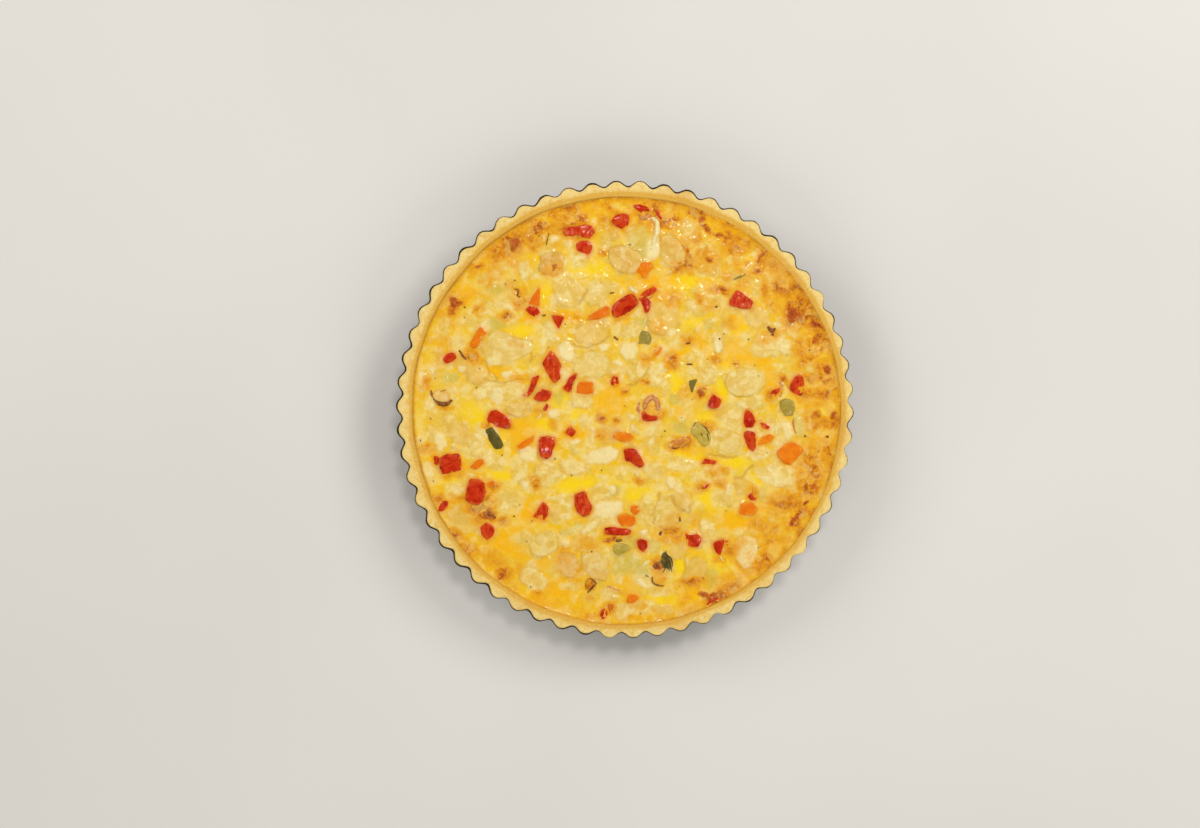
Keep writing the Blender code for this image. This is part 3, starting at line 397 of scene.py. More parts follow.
AMBER = (
    (77, -55, 8, 6, 0), (20, -99, 8, 6, 0), (-6, 5, 18, 19, 15), (-56, -13, 19, 17, -10),
    (16, 70, 26, 9, -3), (60, 31, 19, 13, 0), (79, 18, 9, 16, 0), (-69, 21, 15, 7, -12),
    (-79, 25, 4, 14, 30), (-28, -14, 14, 9, 0), (-52, -56, 18, 14, 0), (-36, -99, 16, 15, 0),
    (2, -94, 14, 12, 0), (58, -62, 16, 12, 0), (-60, -76, 20, 10, -20), (-86, 62, 10, 12, 0),
    (55, 100, 34, 12, -32), (-28, 108, 28, 9, 14), (-28, 51, 14, 6, 0), (-52, 49, 14, 5, 0),
    (-45, -104, 16, 8, -20), (35, -22, 18, 5, 0), (28, 31, 8, 10, 0), (-44, -84, 10, 10, 0),
    (60, 48, 10, 8, 0), (23, 64, 14, 7, 0), (41, 37, 9, 8, 0), (-56, -68, 18, 9, -20), (31, -1, 8, 7, 0),
    (43, 69, 9, 6, 0), (-66, -73, 12, 10, 0), (36, -101, 12, 7, 20), (66, -62, 14, 7, 0), (75, 26, 8, 6, 0),
    (-87, -33, 5, 8, 0), (68, 27, 8, 6, 0),
)
# Toasted patches and burnt spots: as above, and how dark. Some of them are dark patches just below pepper
# pieces, at (-7, -71), (0, 51), (-75, -57) and (-80, -54).
TOASTED = (
    (-62, 90, 30, 13, 32, 0.8), (-61, 91.5, 11, 6, -25, 1.0), (-47, 99, 9, 7, 10, 1.0),
    (-80, 78, 5, 4, 0, 0.9), (-72, 84, 14, 9, 40, 0.55), (-50, 90, 10, 10, 0, 0.45),
    (-64.5, 51, 7, 5, 0, 0.8), (-80, 54, 5, 6, 0, 0.7), (-93.5, 53, 7, 8, 0, 0.6),
    (-25, 105, 8, 6, -60, 0.95), (-30, 101, 12, 4, 15, 0.8), (-36, 103, 12, 10, 0, 0.5),
    (26, 104, 12, 8, 0, 0.6), (14, 107, 12, 6, -40, 0.7), (-12, 86, 5, 4, 0, 0.7),
    (46.5, 82, 5, 4.5, 0, 1.0), (75, 84, 14, 5, 68, 0.9), (72.5, 76, 6, 5, 0, 0.8),
    (88, 66, 16, 12, -30, 0.65), (91.5, 52, 12, 10, 30, 0.8), (103, 48, 16, 9, -60, 0.75),
    (97, 58, 10, 8, 0, 0.5), (77, 66, 6, 16, 0, 0.5), (52.5, 65, 10, 5, -8, 0.9), (30, 78, 7, 12, -60, 0.9),
    (34, 84, 4, 16, 14, 0.9), (104, 38, 10, 10, 0, 0.75), (108, 24, 8, 8, 0, 0.6),
    (101, 28, 14, 4, 35, 0.9), (111, 22, 4, 7, 0, 1.0), (106, 7, 20, 9, 0, 0.6), (113, -3, 4, 6, 0, 1.0),
    (108, -19, 9, 12, 0, 0.45), (102, -30, 16, 20, 15, 0.75), (101, -42, 12, 16, 0, 0.8),
    (88, -51, 20, 13, 15, 0.65), (95, -59, 13, 7, 48, 1.0), (82, -76, 14, 9, -10, 0.25),
    (58, -97, 16, 7, 28, 0.75), (75, -63, 14, 9, 0, 0.5), (72, -88, 16, 7, 45, 0.2), (86, 17, 6, 6, 0, 0.7),
    (81, 8.5, 8, 5, 30, 0.7), (101, 17, 7, 4, -30, 0.8), (41.5, 9, 6, 7, 0, 0.9), (45, -9, 9, 6, 0, 0.5),
    (60, 25, 5, 5, 0, 0.5), (50, 28, 6, 5, 0, 0.7), (35, 37, 7, 6, 0, 0.8), (12, 28, 7, 6, 0, 0.6),
    (11, 15, 5, 4, 0, 0.7), (-13, -4.5, 6, 5, 0, 0.8), (-4, -6.5, 5, 5, 0, 0.7), (0, 10, 5, 5, 0, 0.7),
    (-12, -14, 8, 7, 0, 0.5), (26, 60, 9, 9, 0, 0.5), (-89, -48.5, 7, 3.5, 15, 0.5),
    (-86, -76, 12, 8, -35, 0.75), (-93, -69, 9, 6, -45, 0.8), (-66.5, -90, 9, 8, 0, 0.9),
    (-72, -82, 18, 10, -35, 0.45), (-48, -101, 6, 4, 0, 0.6), (-21, -74, 14, 8, 0, 0.3),
    (-28, -90, 10, 12, 0, 0.45), (-33, -82, 10, 14, 0, 0.5), (-19, -113, 10, 4, 0, 0.6),
    (-9, -109, 9, 5, 40, 0.7), (24, -66, 10, 5, 0, 0.8), (26, -60, 8, 8, 0, 0.5), (37, -94, 13, 4, 4, 0.75),
    (28, -69, 10, 6, 0, 0.5), (18, -85, 6, 7, 0, 0.8), (-98, 1, 8, 4, 0, 0.5), (-83, 29, 9, 7, -30, 0.8),
    (-108, -22, 8, 6, 0, 0.6), (-109, 14, 5, 8, 0, 0.5), (-70, -42, 6, 5, 0, 0.7), (4, -114, 12, 3, 0, 0.4),
    (25.5, 28, 7, 6, 0, 0.9), (-73, -42, 7, 7, 0, 0.7), (-24, 104, 7, 6, 0, 0.9), (39.5, 93, 5, 7, 0, 0.6),
    (8, -39, 6, 5, 0, 0.6), (-49, -40, 5.5, 7, 15, 0.85), (42, -42, 8, 6, 30, 0.6), (48, -34, 8, 4, 0, 0.4),
    (70, -45, 7, 6, 0, 0.6), (85, -71, 10, 6, 0, 0.4), (39, -62, 6, 10, 0, 0.3),
    (30, -18.6, 12, 6, 14, 1.2), (-18.6, -95.8, 5, 6, 0, 0.9), (58, -77, 8, 8, 0, 0.6),
    (44.5, 98.5, 9, 3, -50, 1.1), (53.5, 94.5, 14, 3, -18, 1.0), (39, -95, 9, 3, 0, 0.7),
    (-75, -57, 10, 7, -30, 1.2), (-67, -61, 8, 6, 0, 0.6), (94, 50, 13, 11, 30, 1.1),
    (-57, 58, 7, 6, 0, 0.65), (-39, 76.5, 10, 6, 15, 0.85), (41, 61, 7, 6, 0, 0.55),
    (-24, 97, 16, 8, 10, 0.8), (51, -102, 12, 7, 20, 1.0), (52, -40, 7, 6, 0, 0.5), (-59, 36, 8, 6, 0, 0.4),
    (62, -74, 6, 8, 0, 0.35), (-7, -71, 11, 4, 0, 0.6), (82, 42, 7, 6, 0, 0.45), (-57, 17, 9, 5, 0, 0.45),
    (-91, -36, 8, 4, 0, 0.5), (-62, 68, 7, 6, 0, 0.35), (19, -3, 6, 5, 0, 0.6), (-46, -1, 7, 6, 0, 0.5),
    (14, 101, 5, 8, 0, 0.45), (111, -22, 5, 12, 0, 0.85), (26, 25, 7, 7, 0, 0.75), (99, 8, 10, 8, 0, 0.75),
    (106, 39, 7, 9, 0, 0.8), (24, 102, 12, 7, 0, 0.95), (-61, 36, 8, 5, 0, 0.5), (-76, -50, 9, 5, 0, 0.8),
    (-27, 50, 8, 5, 0, 0.5), (23, 62, 14, 6, 0, 0.4), (-93, 60, 9, 8, 0, 0.7), (57, 47, 8, 7, 0, 0.35),
    (14.5, 1.5, 8, 11, 0, 0.55), (65, 69, 8, 7, 0, 0.45), (18, 45, 9, 8, 0, 0.35), (33, 10, 8, 8, 0, 0.35),
    (19, -89, 7, 6, 0, 0.6), (-7, -71, 10, 3, 0, 0.9), (-39, -8, 6, 6, 0, 0.35), (-91, -48, 9, 6, 0, 0.5),
    (-59, 91, 8, 6, 0, 0.9), (28, 90, 8, 7, 0, 0.45), (-73, -51, 7, 6, 0, 0.75), (21, -70, 8, 6, 0, 0.5),
    (-90, -34, 5, 4, 0, 0.6), (48, -104, 10, 6, 10, 0.9), (-75, -8.5, 5, 4, 0, 0.6),
    (65, -72, 5, 5, 0, 0.35), (52, -82, 7, 5, 0, 0.45), (-98, -37, 7, 4, 0, 0.5), (-57, 64, 7, 7, 0, 0.5),
    (81, 57, 9, 7, 0, 0.5), (47, 57, 8, 7, 0, 0.35), (-80, -60, 8, 7, 0, 0.5), (77, 39, 10, 7, 0, 0.35),
    (-102, -50, 7, 7, 0, 0.7), (56, 72, 8, 7, 0, 0.45), (-43, 100, 8, 6, 0, 0.7), (80, 79, 16, 14, 0, 0.55),
    (-30, 110, 14, 6, 0, 0.75), (-60, 98, 9, 7, 30, 0.7), (-39, 107, 8, 6, 0, 0.75),
    (-51, 103, 9, 6, 0, 0.65), (-80, -54, 14, 6, 0, 0.9), (0, 51, 12, 3, 35, 0.65), (48, 66, 8, 6, 0, 0.4),
)
BURNT = (
    (-59, 91, 4, 3, 20, 0.5), (-9, -71.5, 8, 2, 0, 0.3), (-74, -58, 6, 3, -36, 0.6),
    (93.5, 51, 9, 7, 30, 0.55), (-93.5, 58.5, 6, 5.5, -20, 0.8), (-94, 53, 4, 5, 0, 0.4),
    (25.5, 28, 3, 3, 0, 0.4), (41.2, 9, 4, 4, 0, 0.25), (-61, 92, 4.5, 3, 20, 0.6),
    (-65.5, 89, 3, 2, 30, 0.4), (-57.5, 90, 4, 2, -30, 0.45), (91.5, 52.5, 7, 5.5, 45, 0.75),
    (91, 66, 5, 4, -50, 0.3), (105, 46.5, 9, 2, -38, 0.75), (104, 38.5, 3.5, 5, 0, 0.5),
    (111.3, 21.5, 2.5, 5, 15, 0.75), (94.5, -58, 5.5, 3, 55, 0.75), (91.5, -62, 6, 2, 55, 0.6),
    (98.8, -51, 4.5, 1.8, 60, 0.8), (103, -42, 4, 3, 40, 0.45), (113, -3, 3, 4, 0, 0.45),
    (43, -101.3, 6, 3.5, -30, 0.7), (47.5, -100.6, 4, 2.5, 20, 0.6), (42, 103.6, 4.5, 3, -50, 0.45),
    (18, -85.5, 4.5, 4, 40, 0.9), (-66.5, -90, 3.5, 1.4, 80, 0.6), (-66, -90, 4, 1.2, 10, 0.6),
    (-68, -92.5, 3, 1.5, 30, 0.5), (96.5, 59.5, 3, 2, 20, 0.3), (46.5, 82, 2.2, 2, 0, 0.55),
    (52.5, 64.5, 4, 1.6, -10, 0.55), (-47, 99.5, 3, 3, 0, 0.35), (-80, 78, 2.2, 1.8, 0, 0.35),
    (74.6, 83.5, 2, 6, -15, 0.35), (72.5, 76, 3, 2, 0, 0.4), (36, 79.5, 2, 2.5, 0, 0.45),
    (35, 85, 2, 5, 14, 0.35), (107, 33, 5, 2, 40, 0.4), (106, -36, 5, 3, 30, 0.4),
    (100, -37, 4, 3, 60, 0.35), (-12, -4.5, 3.5, 2, 20, 0.5), (0, 9.8, 2.4, 1.6, -20, 0.55),
    (-86, -76, 4, 1.6, 10, 0.4), (-92, -69.5, 3, 2, 0, 0.4), (86, 17, 3, 2.4, 40, 0.5),
    (111, -15, 2, 1.6, 0, 0.6), (107, -1, 2, 1.6, 0, 0.35), (108.5, 8, 5, 2, 60, 0.35),
)
# Creases in the skin, as the points they run through.
CREASES = (
    ((41, 104), (43, 100), (47, 96.5), (53, 94.5), (58, 93), (62, 90)),
    ((-7, 88), (-4, 89.3), (0, 89), (2.5, 90)),
    ((-8.5, 86), (-7.5, 80), (-4.5, 76.5), (-1, 75)),
    ((-20.5, 66), (-23, 60), (-26, 57)),
    ((-28, 34.5), (-20, 33.8), (-14, 36), (-9, 40)),
    ((2, 12.8), (7, 15), (11, 18.5), (12.5, 23)),
    ((-76, 16.2), (-68, 15), (-60, 15.5)),
    ((-52, 25), (-50, 31), (-51, 37), (-60, 38.5), (-66, 40)),
    ((-77, 27), (-74, 20), (-70, 17.5)),
    ((20, -45.5), (17.5, -51), (16.5, -57), (15.5, -62)),
    ((25, -47), (26.5, -51), (30, -54), (35.5, -56), (36, -52)),
    ((-24, -78), (-22.5, -83), (-25, -89)),
    ((33, -80), (33.5, -87), (31, -93)),
    ((60, -82.5), (65, -88), (70, -84)),
    ((22, 95.5), (28, 93.5), (32, 88), (35, 82)),
    ((84, 12), (88, 14), (90, 10)),
    ((-50, 92), (-48, 94), (-44, 93.5)),
    ((46, -25), (54, -26), (62, -24.5)),
    ((70, -30), (66, -36), (60, -38)),
    ((-105, -60), (-100, -64), (-96, -70)),
)
# Crusty chips: as the patches, and how much narrower the far end is.
CHIPS = (
    (17.6, -85, 4.4, 2.8, 40, 0.8), (-72.6, -58, 5.2, 2, -36, 0.7), (30, -60, 2.8, 1.4, 95, 0.7),
    (19.4, -67.6, 2.6, 1.8, 60, 0.7), (-73, 33.2, 2.8, 1, 35, 0.7), (34.6, 36.2, 2.8, 1.2, 20, 0.7),
    (35.5, 24.6, 3.4, 1, 3, 0.8), (-4.8, 38.8, 3, 1.4, -40, 0.7), (-7, 63.7, 2.6, 1, 10, 0.7),
    (58.6, -10.2, 3.4, 0.9, -25, 0.7), (-88.8, 30, 6, 1.2, -48, 0.8),
)
FLECKS = (
    (-60, 70.5), (-65, 68.5), (-87.5, 56), (-87.5, 50.2), (-43.3, 102), (-46.8, 95), (-32.5, 46.5),
    (-67, -25), (-104.5, -39.2), (35.5, 36), (0, 2), (73, -75.5), (67.6, 38.3), (51.8, 38.6), (45.3, 27.4),
    (71, 24.2), (101, 32.4), (50, 56), (-43.6, 51.4), (-44.6, 51.2), (98.6, -14.6), (8.6, -111.5),
    (-29, -36), (-12.6, -33.2), (-53.6, -72), (-51.4, -97), (12, -91), (-18, -77.6), (36.8, 5.4),
    (22, -11.8), (-38, -27), (-81, 12), (2.6, 90), (20, 93), (31, -4.6), (60, -19.6), (111, -15),
    (106, -23), (-106, -5), (-111.5, -17), (-60.4, -58.4), (-50.6, -61), (60, 25),
)
# Shreds of cheese and onion and thin burnt edges: their points, and how thick, in millimetres.
CHEESE_SHREDS = (
    (((14.5, 105), (17.2, 103), (17.6, 97.5), (16, 92), (14.5, 87)), 3.2),
    (((-106, 22.5), (-104.6, 19)), 2.2), (((-97.4, 19), (-96, 14.8)), 1.3), (((-92, 18), (-91.6, 13)), 1.1),
    (((2.6, 67.2), (4.6, 65.4), (6.4, 63.8)), 3.4), (((-31.6, 84.6), (-32.4, 80), (-34, 75)), 1.0),
    # The short pale shreds near (4, -10) and (22, 22) stand partly for painted highlights.
    (((3.4, -9), (5, -11.6)), 2.4), (((20.6, 23), (23, 20.8)), 2.8), (((7.4, -92.6), (10.4, -95.4)), 1.5),
    (((-56.6, -44.6), (-54.6, -41), (-56, -38)), 1.6), (((52.4, 32), (52, 37)), 3.0),
    (((12.4, 53), (11.4, 49), (10.2, 46.4)), 1.0), (((83, -5), (82.6, -11), (84, -15.6)), 1.0),
    (((51.2, -77.5), (52.6, -81), (54, -83)), 0.9), (((33, -71), (34.6, -75)), 0.9),
    (((56.4, -40.6), (57.6, -46)), 2.0),
)
ONION_CURLS = (
    (((11, -3.6), (11, 1), (12.4, 4.8), (15, 6.3), (17.2, 4.6), (18, 0.6), (18.2, -2.8)), 2.2),
    (((7.6, 106.4), (10.4, 104.4), (12.6, 105.6), (14, 108)), 1.6), (((85, 7), (86, 12), (84.6, 15)), 1.6),
    (((-9.6, -96.6), (-5, -98.4), (-1.6, -100.4)), 1.3), (((8, 4), (7.4, 0), (8.4, -3)), 1.6),
    (((10, 59.6), (13.4, 60.6), (16, 62.4)), 1.0), (((93, -2.6), (92.2, -8), (93.4, -13)), 1.2),
    (((-27.6, 16), (-28.6, 12.6)), 1.8),
)
BURNT_EDGES = (
    (((78.2, 45.2), (79.6, 43.6), (80.8, 43.2), (82.4, 44.4)), 2.2), (((80.4, 43.8), (80.9, 40.6)), 2.6),
    (((-105.9, 10.6), (-105.4, 8), (-104, 5.6)), 1.0),
    (((-104.4, 5.8), (-102, 3.6), (-99, 2.8), (-96.4, 3.4), (-94.6, 5.2)), 2.3),
    (((-100.6, 9.8), (-97.6, 10.8)), 0.7), (((-90.2, 32), (-88.4, 29), (-86.6, 27)), 1.0),
    (((-21.4, -94.2), (-19, -92.2)), 0.6), (((-18.9, -92.2), (-16.8, -93.6), (-15.5, -95.2)), 1.0),
    (((-15.7, -95.4), (-18, -97.6), (-20.3, -100.2)), 1.3), (((-21.3, -94.6), (-21.2, -98)), 0.5),
    (((15, -91.4), (15.4, -94.4), (18, -96), (21.4, -96.4)), 0.9), (((11.4, -90.4), (13.4, -91.6)), 0.6),
    (((24.6, -19.6), (26.6, -21.2), (30, -20.8)), 0.8),
    (((-60.4, 66), (-58, 65), (-58.6, 62.4), (-57, 61.4)), 0.7),
    (((-41.4, 96.6), (-42.4, 92), (-42.8, 89.6)), 0.6),
)
HERB_TUFT = (
    ((20.6, -79.4), (22.6, -83), (21.6, -88)), ((22.4, -77), (23, -82), (23.8, -87)),
    ((21.4, -78), (24.6, -83.6), (25.8, -89)), ((23, -79), (25.6, -82), (26, -86)),
    ((19.6, -82), (22, -86), (21, -89)), ((24, -80), (22, -84), (24.6, -88)),
)
LEEK_RIBS = (
    ((39, -6.8), (37.4, -9.4), (36.9, -12.4)), ((39.8, -7), (42.4, -8.6), (44.6, -10.6), (46.4, -13.4)),
    ((40.6, -10.4), (42, -13.6), (42.6, -17.6)), ((43.8, -11.6), (45.4, -14.6), (45.4, -18.2)),
    ((-73.8, -12.2), (-70.6, -16), (-67.6, -20.6)),
)
# What is painted on the egg for its finish to read; outline is painted shade at edges and creases.
LOOKS = ("cream", "white", "tan", "green", "lemon", "amber", "toast", "burnt", "outline", "stain")
# Lamps: name, place, width and height, and watts. All of them point at the pie.
LAMP_TARGET = (0, 0, 0.02)
LAMPS = (
    ("key", (0.85, 0.7, 1.0), (0.6, 0.6), 7.8),
    ("left_fill", (-1.0, 0.6, 0.9), (0.7, 0.7), 6.2),
    ("front_fill", (-0.6, -1.1, 0.9), (0.9, 0.6), 4.2),
    ("right_fill", (1.0, -0.8, 0.9), (0.9, 0.6), 5.0),
    ("window", (0.12, 0.38, 1.2), (0.21, 0.21), 3.0),
)
ROOM_COLOUR = (1, 0.985, 0.96, 1)
ROOM_STRENGTH = 0.19
CAMERA_PLACE = (-13.5 * MM, -2.5 * MM, 940 * MM)
CAMERA_LENS = 50
CAMERA_SENSOR = 36


# ---------------------------------------------------------------- shaping helpers


def only(piece):
    """Makes one piece the whole selection and the active one."""
    bpy.ops.object.select_all(action="DESELECT")
    piece.select_set(True)
    bpy.context.view_layer.objects.active = piece


def settle(piece):
    """Applies the modifiers and then the place, so that the piece's object sits at the origin."""
    only(piece)
    for step in list(piece.modifiers):
        bpy.ops.object.modifier_apply(modifier=step.name)
    bpy.ops.object.transform_apply(location=True, rotation=True, scale=True)
    return piece


def new_piece(name):
    made = bpy.context.object
    made.name = name
    made.data.name = name
    return made


def join(pieces, name):
    bpy.ops.object.select_all(action="DESELECT")
    for piece in pieces:
        piece.select_set(True)
    bpy.context.view_layer.objects.active = pieces[0]
    if len(pieces) > 1:
        bpy.ops.object.join()
    return new_piece(name)


def points_of(piece):
    flat = np.empty(len(piece.data.vertices) * 3)
    piece.data.vertices.foreach_get("co", flat)
    return flat.reshape(-1, 3)


def move_points(piece, points):
    piece.data.vertices.foreach_set("co", np.ascontiguousarray(points).ravel())
    piece.data.update()


def polar(points):
    """How far each point is from the middle of the pie, and at what angle."""
    return np.hypot(points[:, 0], points[:, 1]), np.arctan2(points[:, 1], points[:, 0])


def paint(piece, look, amount):
    """Stores how much of a look each point of the piece has, for its material to read."""
    layer = piece.data.attributes.get(look) or piece.data.attributes.new(look, "FLOAT", "POINT")
    layer.data.foreach_set("value", np.broadcast_to(amount, len(piece.data.vertices)).astype(np.float32))


def ease(low, high, value):
    """0 below low, 1 above high and smooth between them."""
    share = np.clip((value - low) / (high - low), 0, 1)
    return share * share * (3 - 2 * share)


def wander(x, y, size, seed):
    """Smooth unevenness from -1 to 1 over x and y, each bump about size across, repeating after 61."""
    steps = np.random.default_rng(seed).uniform(0, 2 * math.pi, (61, 61))
    u, v = x / size + 1000, y / size + 1000
    i, j = np.floor(u).astype(int), np.floor(v).astype(int)
    fu, fv = u - i, v - j
    su, sv = fu * fu * fu * (fu * (fu * 6 - 15) + 10), fv * fv * fv * (fv * (fv * 6 - 15) + 10)

    def corner(a, b):
        turn = steps[(i + a) % 61, (j + b) % 61]
        return np.cos(turn) * (fu - a) + np.sin(turn) * (fv - b)

    near = corner(0, 0) * (1 - su) + corner(1, 0) * su
    far = corner(0, 1) * (1 - su) + corner(1, 1) * su
    return 1.5 * (near * (1 - sv) + far * sv)


def pebbles(x, y, size, seed):
    """Round bumps of uneven width: how high each point stands on its bump, and that bump's own number."""
    own = np.random.default_rng(seed).uniform(0, 1, (4, 67, 67))
    i, j = np.floor(x / size).astype(int), np.floor(y / size).astype(int)
    height, number = np.zeros_like(x), np.zeros_like(x)
    for a in (-1, 0, 1):
        for b in (-1, 0, 1):
            across, along, reach, mark = own[:, (i + a) % 67, (j + b) % 67]
            middle_x = (i + a + 0.1 + 0.8 * across) * size
            middle_y = (j + b + 0.1 + 0.8 * along) * size
            far = np.hypot(x - middle_x, y - middle_y) / (size * (0.45 + 0.35 * reach))
            dome = np.clip(1 - far * far, 0, 1)
            number = np.where(dome > height, mark, number)
            height = np.maximum(dome, height)
    return height, number


def crumple(points, size, offset=(0, 0, 0)):
    """A soft push for each point, in bumps about size across."""
    start = Vector(offset)
    return np.array([noise.noise_vector(Vector(p) / size + start) for p in points])


def smooth_outline(points, cut):
    """A drawn outline with its corners cut off twice, in metres and turning to the left."""
    ring = np.array(points) * MM
    after = np.roll(ring, -1, 0)
    if np.sum(ring[:, 0] * after[:, 1] - after[:, 0] * ring[:, 1]) < 0:
        ring = ring[::-1]
    for _ in range(2):
        after = np.roll(ring, -1, 0)
        ring = np.stack((ring * (1 - cut) + after * cut, ring * cut + after * (1 - cut)), 1).reshape(-1, 2)
    return ring


def depth_inside(outline, x, y):
    """Metres inside a closed outline, negative outside."""
    nearest = np.full(len(x), 1.0)
    inside = np.zeros(len(x), bool)
    for (ax, ay), (bx, by) in zip(outline, np.roll(outline, -1, 0)):
        run_x, run_y = bx - ax, by - ay
        share = np.clip(((x - ax) * run_x + (y - ay) * run_y) / (run_x**2 + run_y**2 + 1e-12), 0, 1)
        nearest = np.minimum(nearest, np.hypot(x - ax - share * run_x, y - ay - share * run_y))
        if ay != by:
            inside ^= ((ay > y) != (by > y)) & (x < ax + (y - ay) / run_y * run_x)
    return np.where(inside, nearest, -nearest)


def breadth(points):
    """The side, in millimetres, of a square as big as a drawn outline."""
    ring = np.array(points, float)
    after = np.roll(ring, -1, 0)
    return math.sqrt(abs(np.sum(ring[:, 0] * after[:, 1] - after[:, 0] * ring[:, 1])) / 2)


def rest_height(x, y):
    """The filling's top before anything is laid in it: a low dome with two crossing waves."""
    dome = EGG_DOME * (1 - (x * x + y * y) / CRUST_INNER_RADIUS**2)
    turn = 2 * math.pi / EGG_WAVE_LENGTH
    waves = np.sin(turn * x + 0.6) + np.sin(turn * (y - 0.4 * x) + 2.1)
    return CRUST_TOP - EGG_EDGE_DROP + dome + EGG_WAVE * waves / 2


def height_at(x, y):
    """The same height at one place, given in millimetres."""
    return float(rest_height(np.array(x * MM), np.array(y * MM)))


def case_radius(angle, z):
    """The inside of the pastry case, which leans and is thicker on one side."""
    waves = ((0.35, 3, 1), (0.2, 7, 0), (0.15, 19, 2))
    uneven = sum(size * MM * np.sin(turns * angle + start) for size, turns, start in waves)
    at_top = CRUST_INNER_RADIUS + CRUST_SHIFT * np.cos(angle - CRUST_THIN_SIDE) + uneven
    return at_top - SIDE_LEAN * (CRUST_TOP - z)


def flute_wave(angle):
    """How far into a flute's valley an angle is, from 0 at a tip to 1."""
    return ((1 - np.cos(FLUTES * (angle - FLUTE_TURN))) / 2) ** 1.3


def raise_walls(profile):
    """Extrudes the selected disc through steps of radius and height."""
    for (radius, z), (next_radius, next_z) in zip(profile, profile[1:]):
        bpy.ops.mesh.extrude_region_move(TRANSFORM_OT_translate={"value": (0, 0, next_z - z)})
        size = next_radius / radius
        bpy.ops.transform.resize(value=(size, size, 1), center_override=(0, 0, 0))


def face_outwards(piece):
    only(piece)
    bpy.ops.object.mode_set(mode="EDIT")
    bpy.ops.mesh.select_all(action="SELECT")
    bpy.ops.mesh.normals_make_consistent(inside=False)
    bpy.ops.object.mode_set(mode="OBJECT")


# ---------------------------------------------------------------- finishes


def colour(red, green, blue):
    """A colour given as 0 to 255 for the screen, as the renderer's own light values."""
    shares = (c / 255 for c in (red, green, blue))
    return tuple(((c + 0.055) / 1.055) ** 2.4 if c > 10 / 255 else c / 12.92 for c in shares) + (1,)


class Value:
    """One output in a material. Sums on it add Math nodes."""

    def __init__(self, finish, socket):
        self.finish = finish
        self.socket = socket

    def sum(self, operation, first, second):
        return self.finish.node("ShaderNodeMath", {"operation": operation}, {0: first, 1: second})

    def __add__(self, other):
        return self.sum("ADD", self, other)

    def __radd__(self, other):
        return self.sum("ADD", other, self)

    def __sub__(self, other):
        return self.sum("SUBTRACT", self, other)

    def __rsub__(self, other):
        return self.sum("SUBTRACT", other, self)

    def __mul__(self, other):
        return self.sum("MULTIPLY", self, other)

    def __rmul__(self, other):
        return self.sum("MULTIPLY", other, self)

    def between(self, low, high):
        """0 below low and 1 above high, smooth between them."""
        settings = {"interpolation_type": "SMOOTHSTEP"}
        inputs = {"Value": self, "From Min": low, "From Max": high}
        return self.finish.node("ShaderNodeMapRange", settings, inputs)


class Finish:
    """A material and short ways of adding its nodes."""

    def __init__(self, name, roughness=0.5, metallic=0.0, coat=0.0, under=0.0, shine=0.3):
        self.material = bpy.data.materials.new(name)
        self.material.use_nodes = True
        self.nodes = self.material.node_tree.nodes
        self.links = self.material.node_tree.links
        self.shader = self.nodes["Principled BSDF"]
        self.set("Roughness", roughness)
        self.set("Metallic", metallic)
        self.set("Coat Weight", coat)
        self.set("Coat Roughness", 0.1)
        self.set("Specular IOR Level", shine)
        if under:
            self.set("Subsurface Weight", under)
            self.set("Subsurface Radius", (1.0, 0.55, 0.2))
            self.set("Subsurface Scale", 2.5 * MM)
        self.place = self.node("ShaderNodeTexCoord", output="Object")

    def feed(self, socket, value):
        if isinstance(value, Value):
            self.links.new(value.socket, socket)
        else:
            socket.default_value = value

    def set(self, name, value):
        self.feed(self.shader.inputs[name], value)

    def node(self, kind, settings=None, inputs=None, output=0):
        """A node of a kind, with its settings made first and then its sockets' values or links."""
        made = self.nodes.new(kind)
        for name, value in (settings or {}).items():
            setattr(made, name, value)
        for name, value in (inputs or {}).items():
            self.feed(made.inputs[name], value)
        return Value(self, made.outputs[output])

    def look(self, name):
        """How much of a painted look a point has."""
        return self.node("ShaderNodeAttribute", {"attribute_name": name}, output="Fac")

    def noise(self, size, detail, warp=0.0, stretch=(1, 1, 1)):
        """Soft noise from 0 to 1 with features about size metres across."""
        place = self.place
        if stretch != (1, 1, 1):
            place = self.node("ShaderNodeVectorMath", {"operation": "MULTIPLY"}, {0: place, 1: stretch})
        inputs = {"Vector": place, "Scale": 1 / size, "Detail": detail, "Distortion": warp}
        return self.node("ShaderNodeTexNoise", None, inputs)

    def crumbs(self, size, crumpling, output="Color", feature="SMOOTH_F1"):
        """A number of its own, about 0.5, for each of many small cells with crumpled edges."""
        inputs = {"Vector": self.place, "Scale": 1 / (2 * size), "Detail": 1.0}
        push = self.node("ShaderNodeTexNoise", None, inputs, output="Color")
        inputs = {0: push, 1: (crumpling, crumpling, crumpling), 2: self.place}
        place = self.node("ShaderNodeVectorMath", {"operation": "MULTIPLY_ADD"}, inputs)
        inputs = {"Vector": place, "Scale": 1 / size}
        if feature == "SMOOTH_F1":
            inputs["Smoothness"] = 0.25
        return self.node("ShaderNodeTexVoronoi", {"feature": feature}, inputs, output=output)

    def mix(self, first, second, share):
        """One colour over another by a share, each of them a value or its red, green and blue."""
        first, second = (tone if isinstance(tone, Value) else colour(*tone) for tone in (first, second))
        return self.node("ShaderNodeMix", {"data_type": "RGBA"}, {0: share, 6: first, 7: second}, 2)

    def layers(self, tone, *rows):
        """Lays tints over a tone, one after another, each with its share."""
        for tint, share in rows:
            tone = self.mix(tone, tint, share)
        return tone

    def relief(self, height, depth):
        """Fine relief on top of the mesh's own, up to depth metres."""
        inputs = {"Height": height, "Distance": depth, "Strength": 1.0}
        self.set("Normal", self.node("ShaderNodeBump", None, inputs))


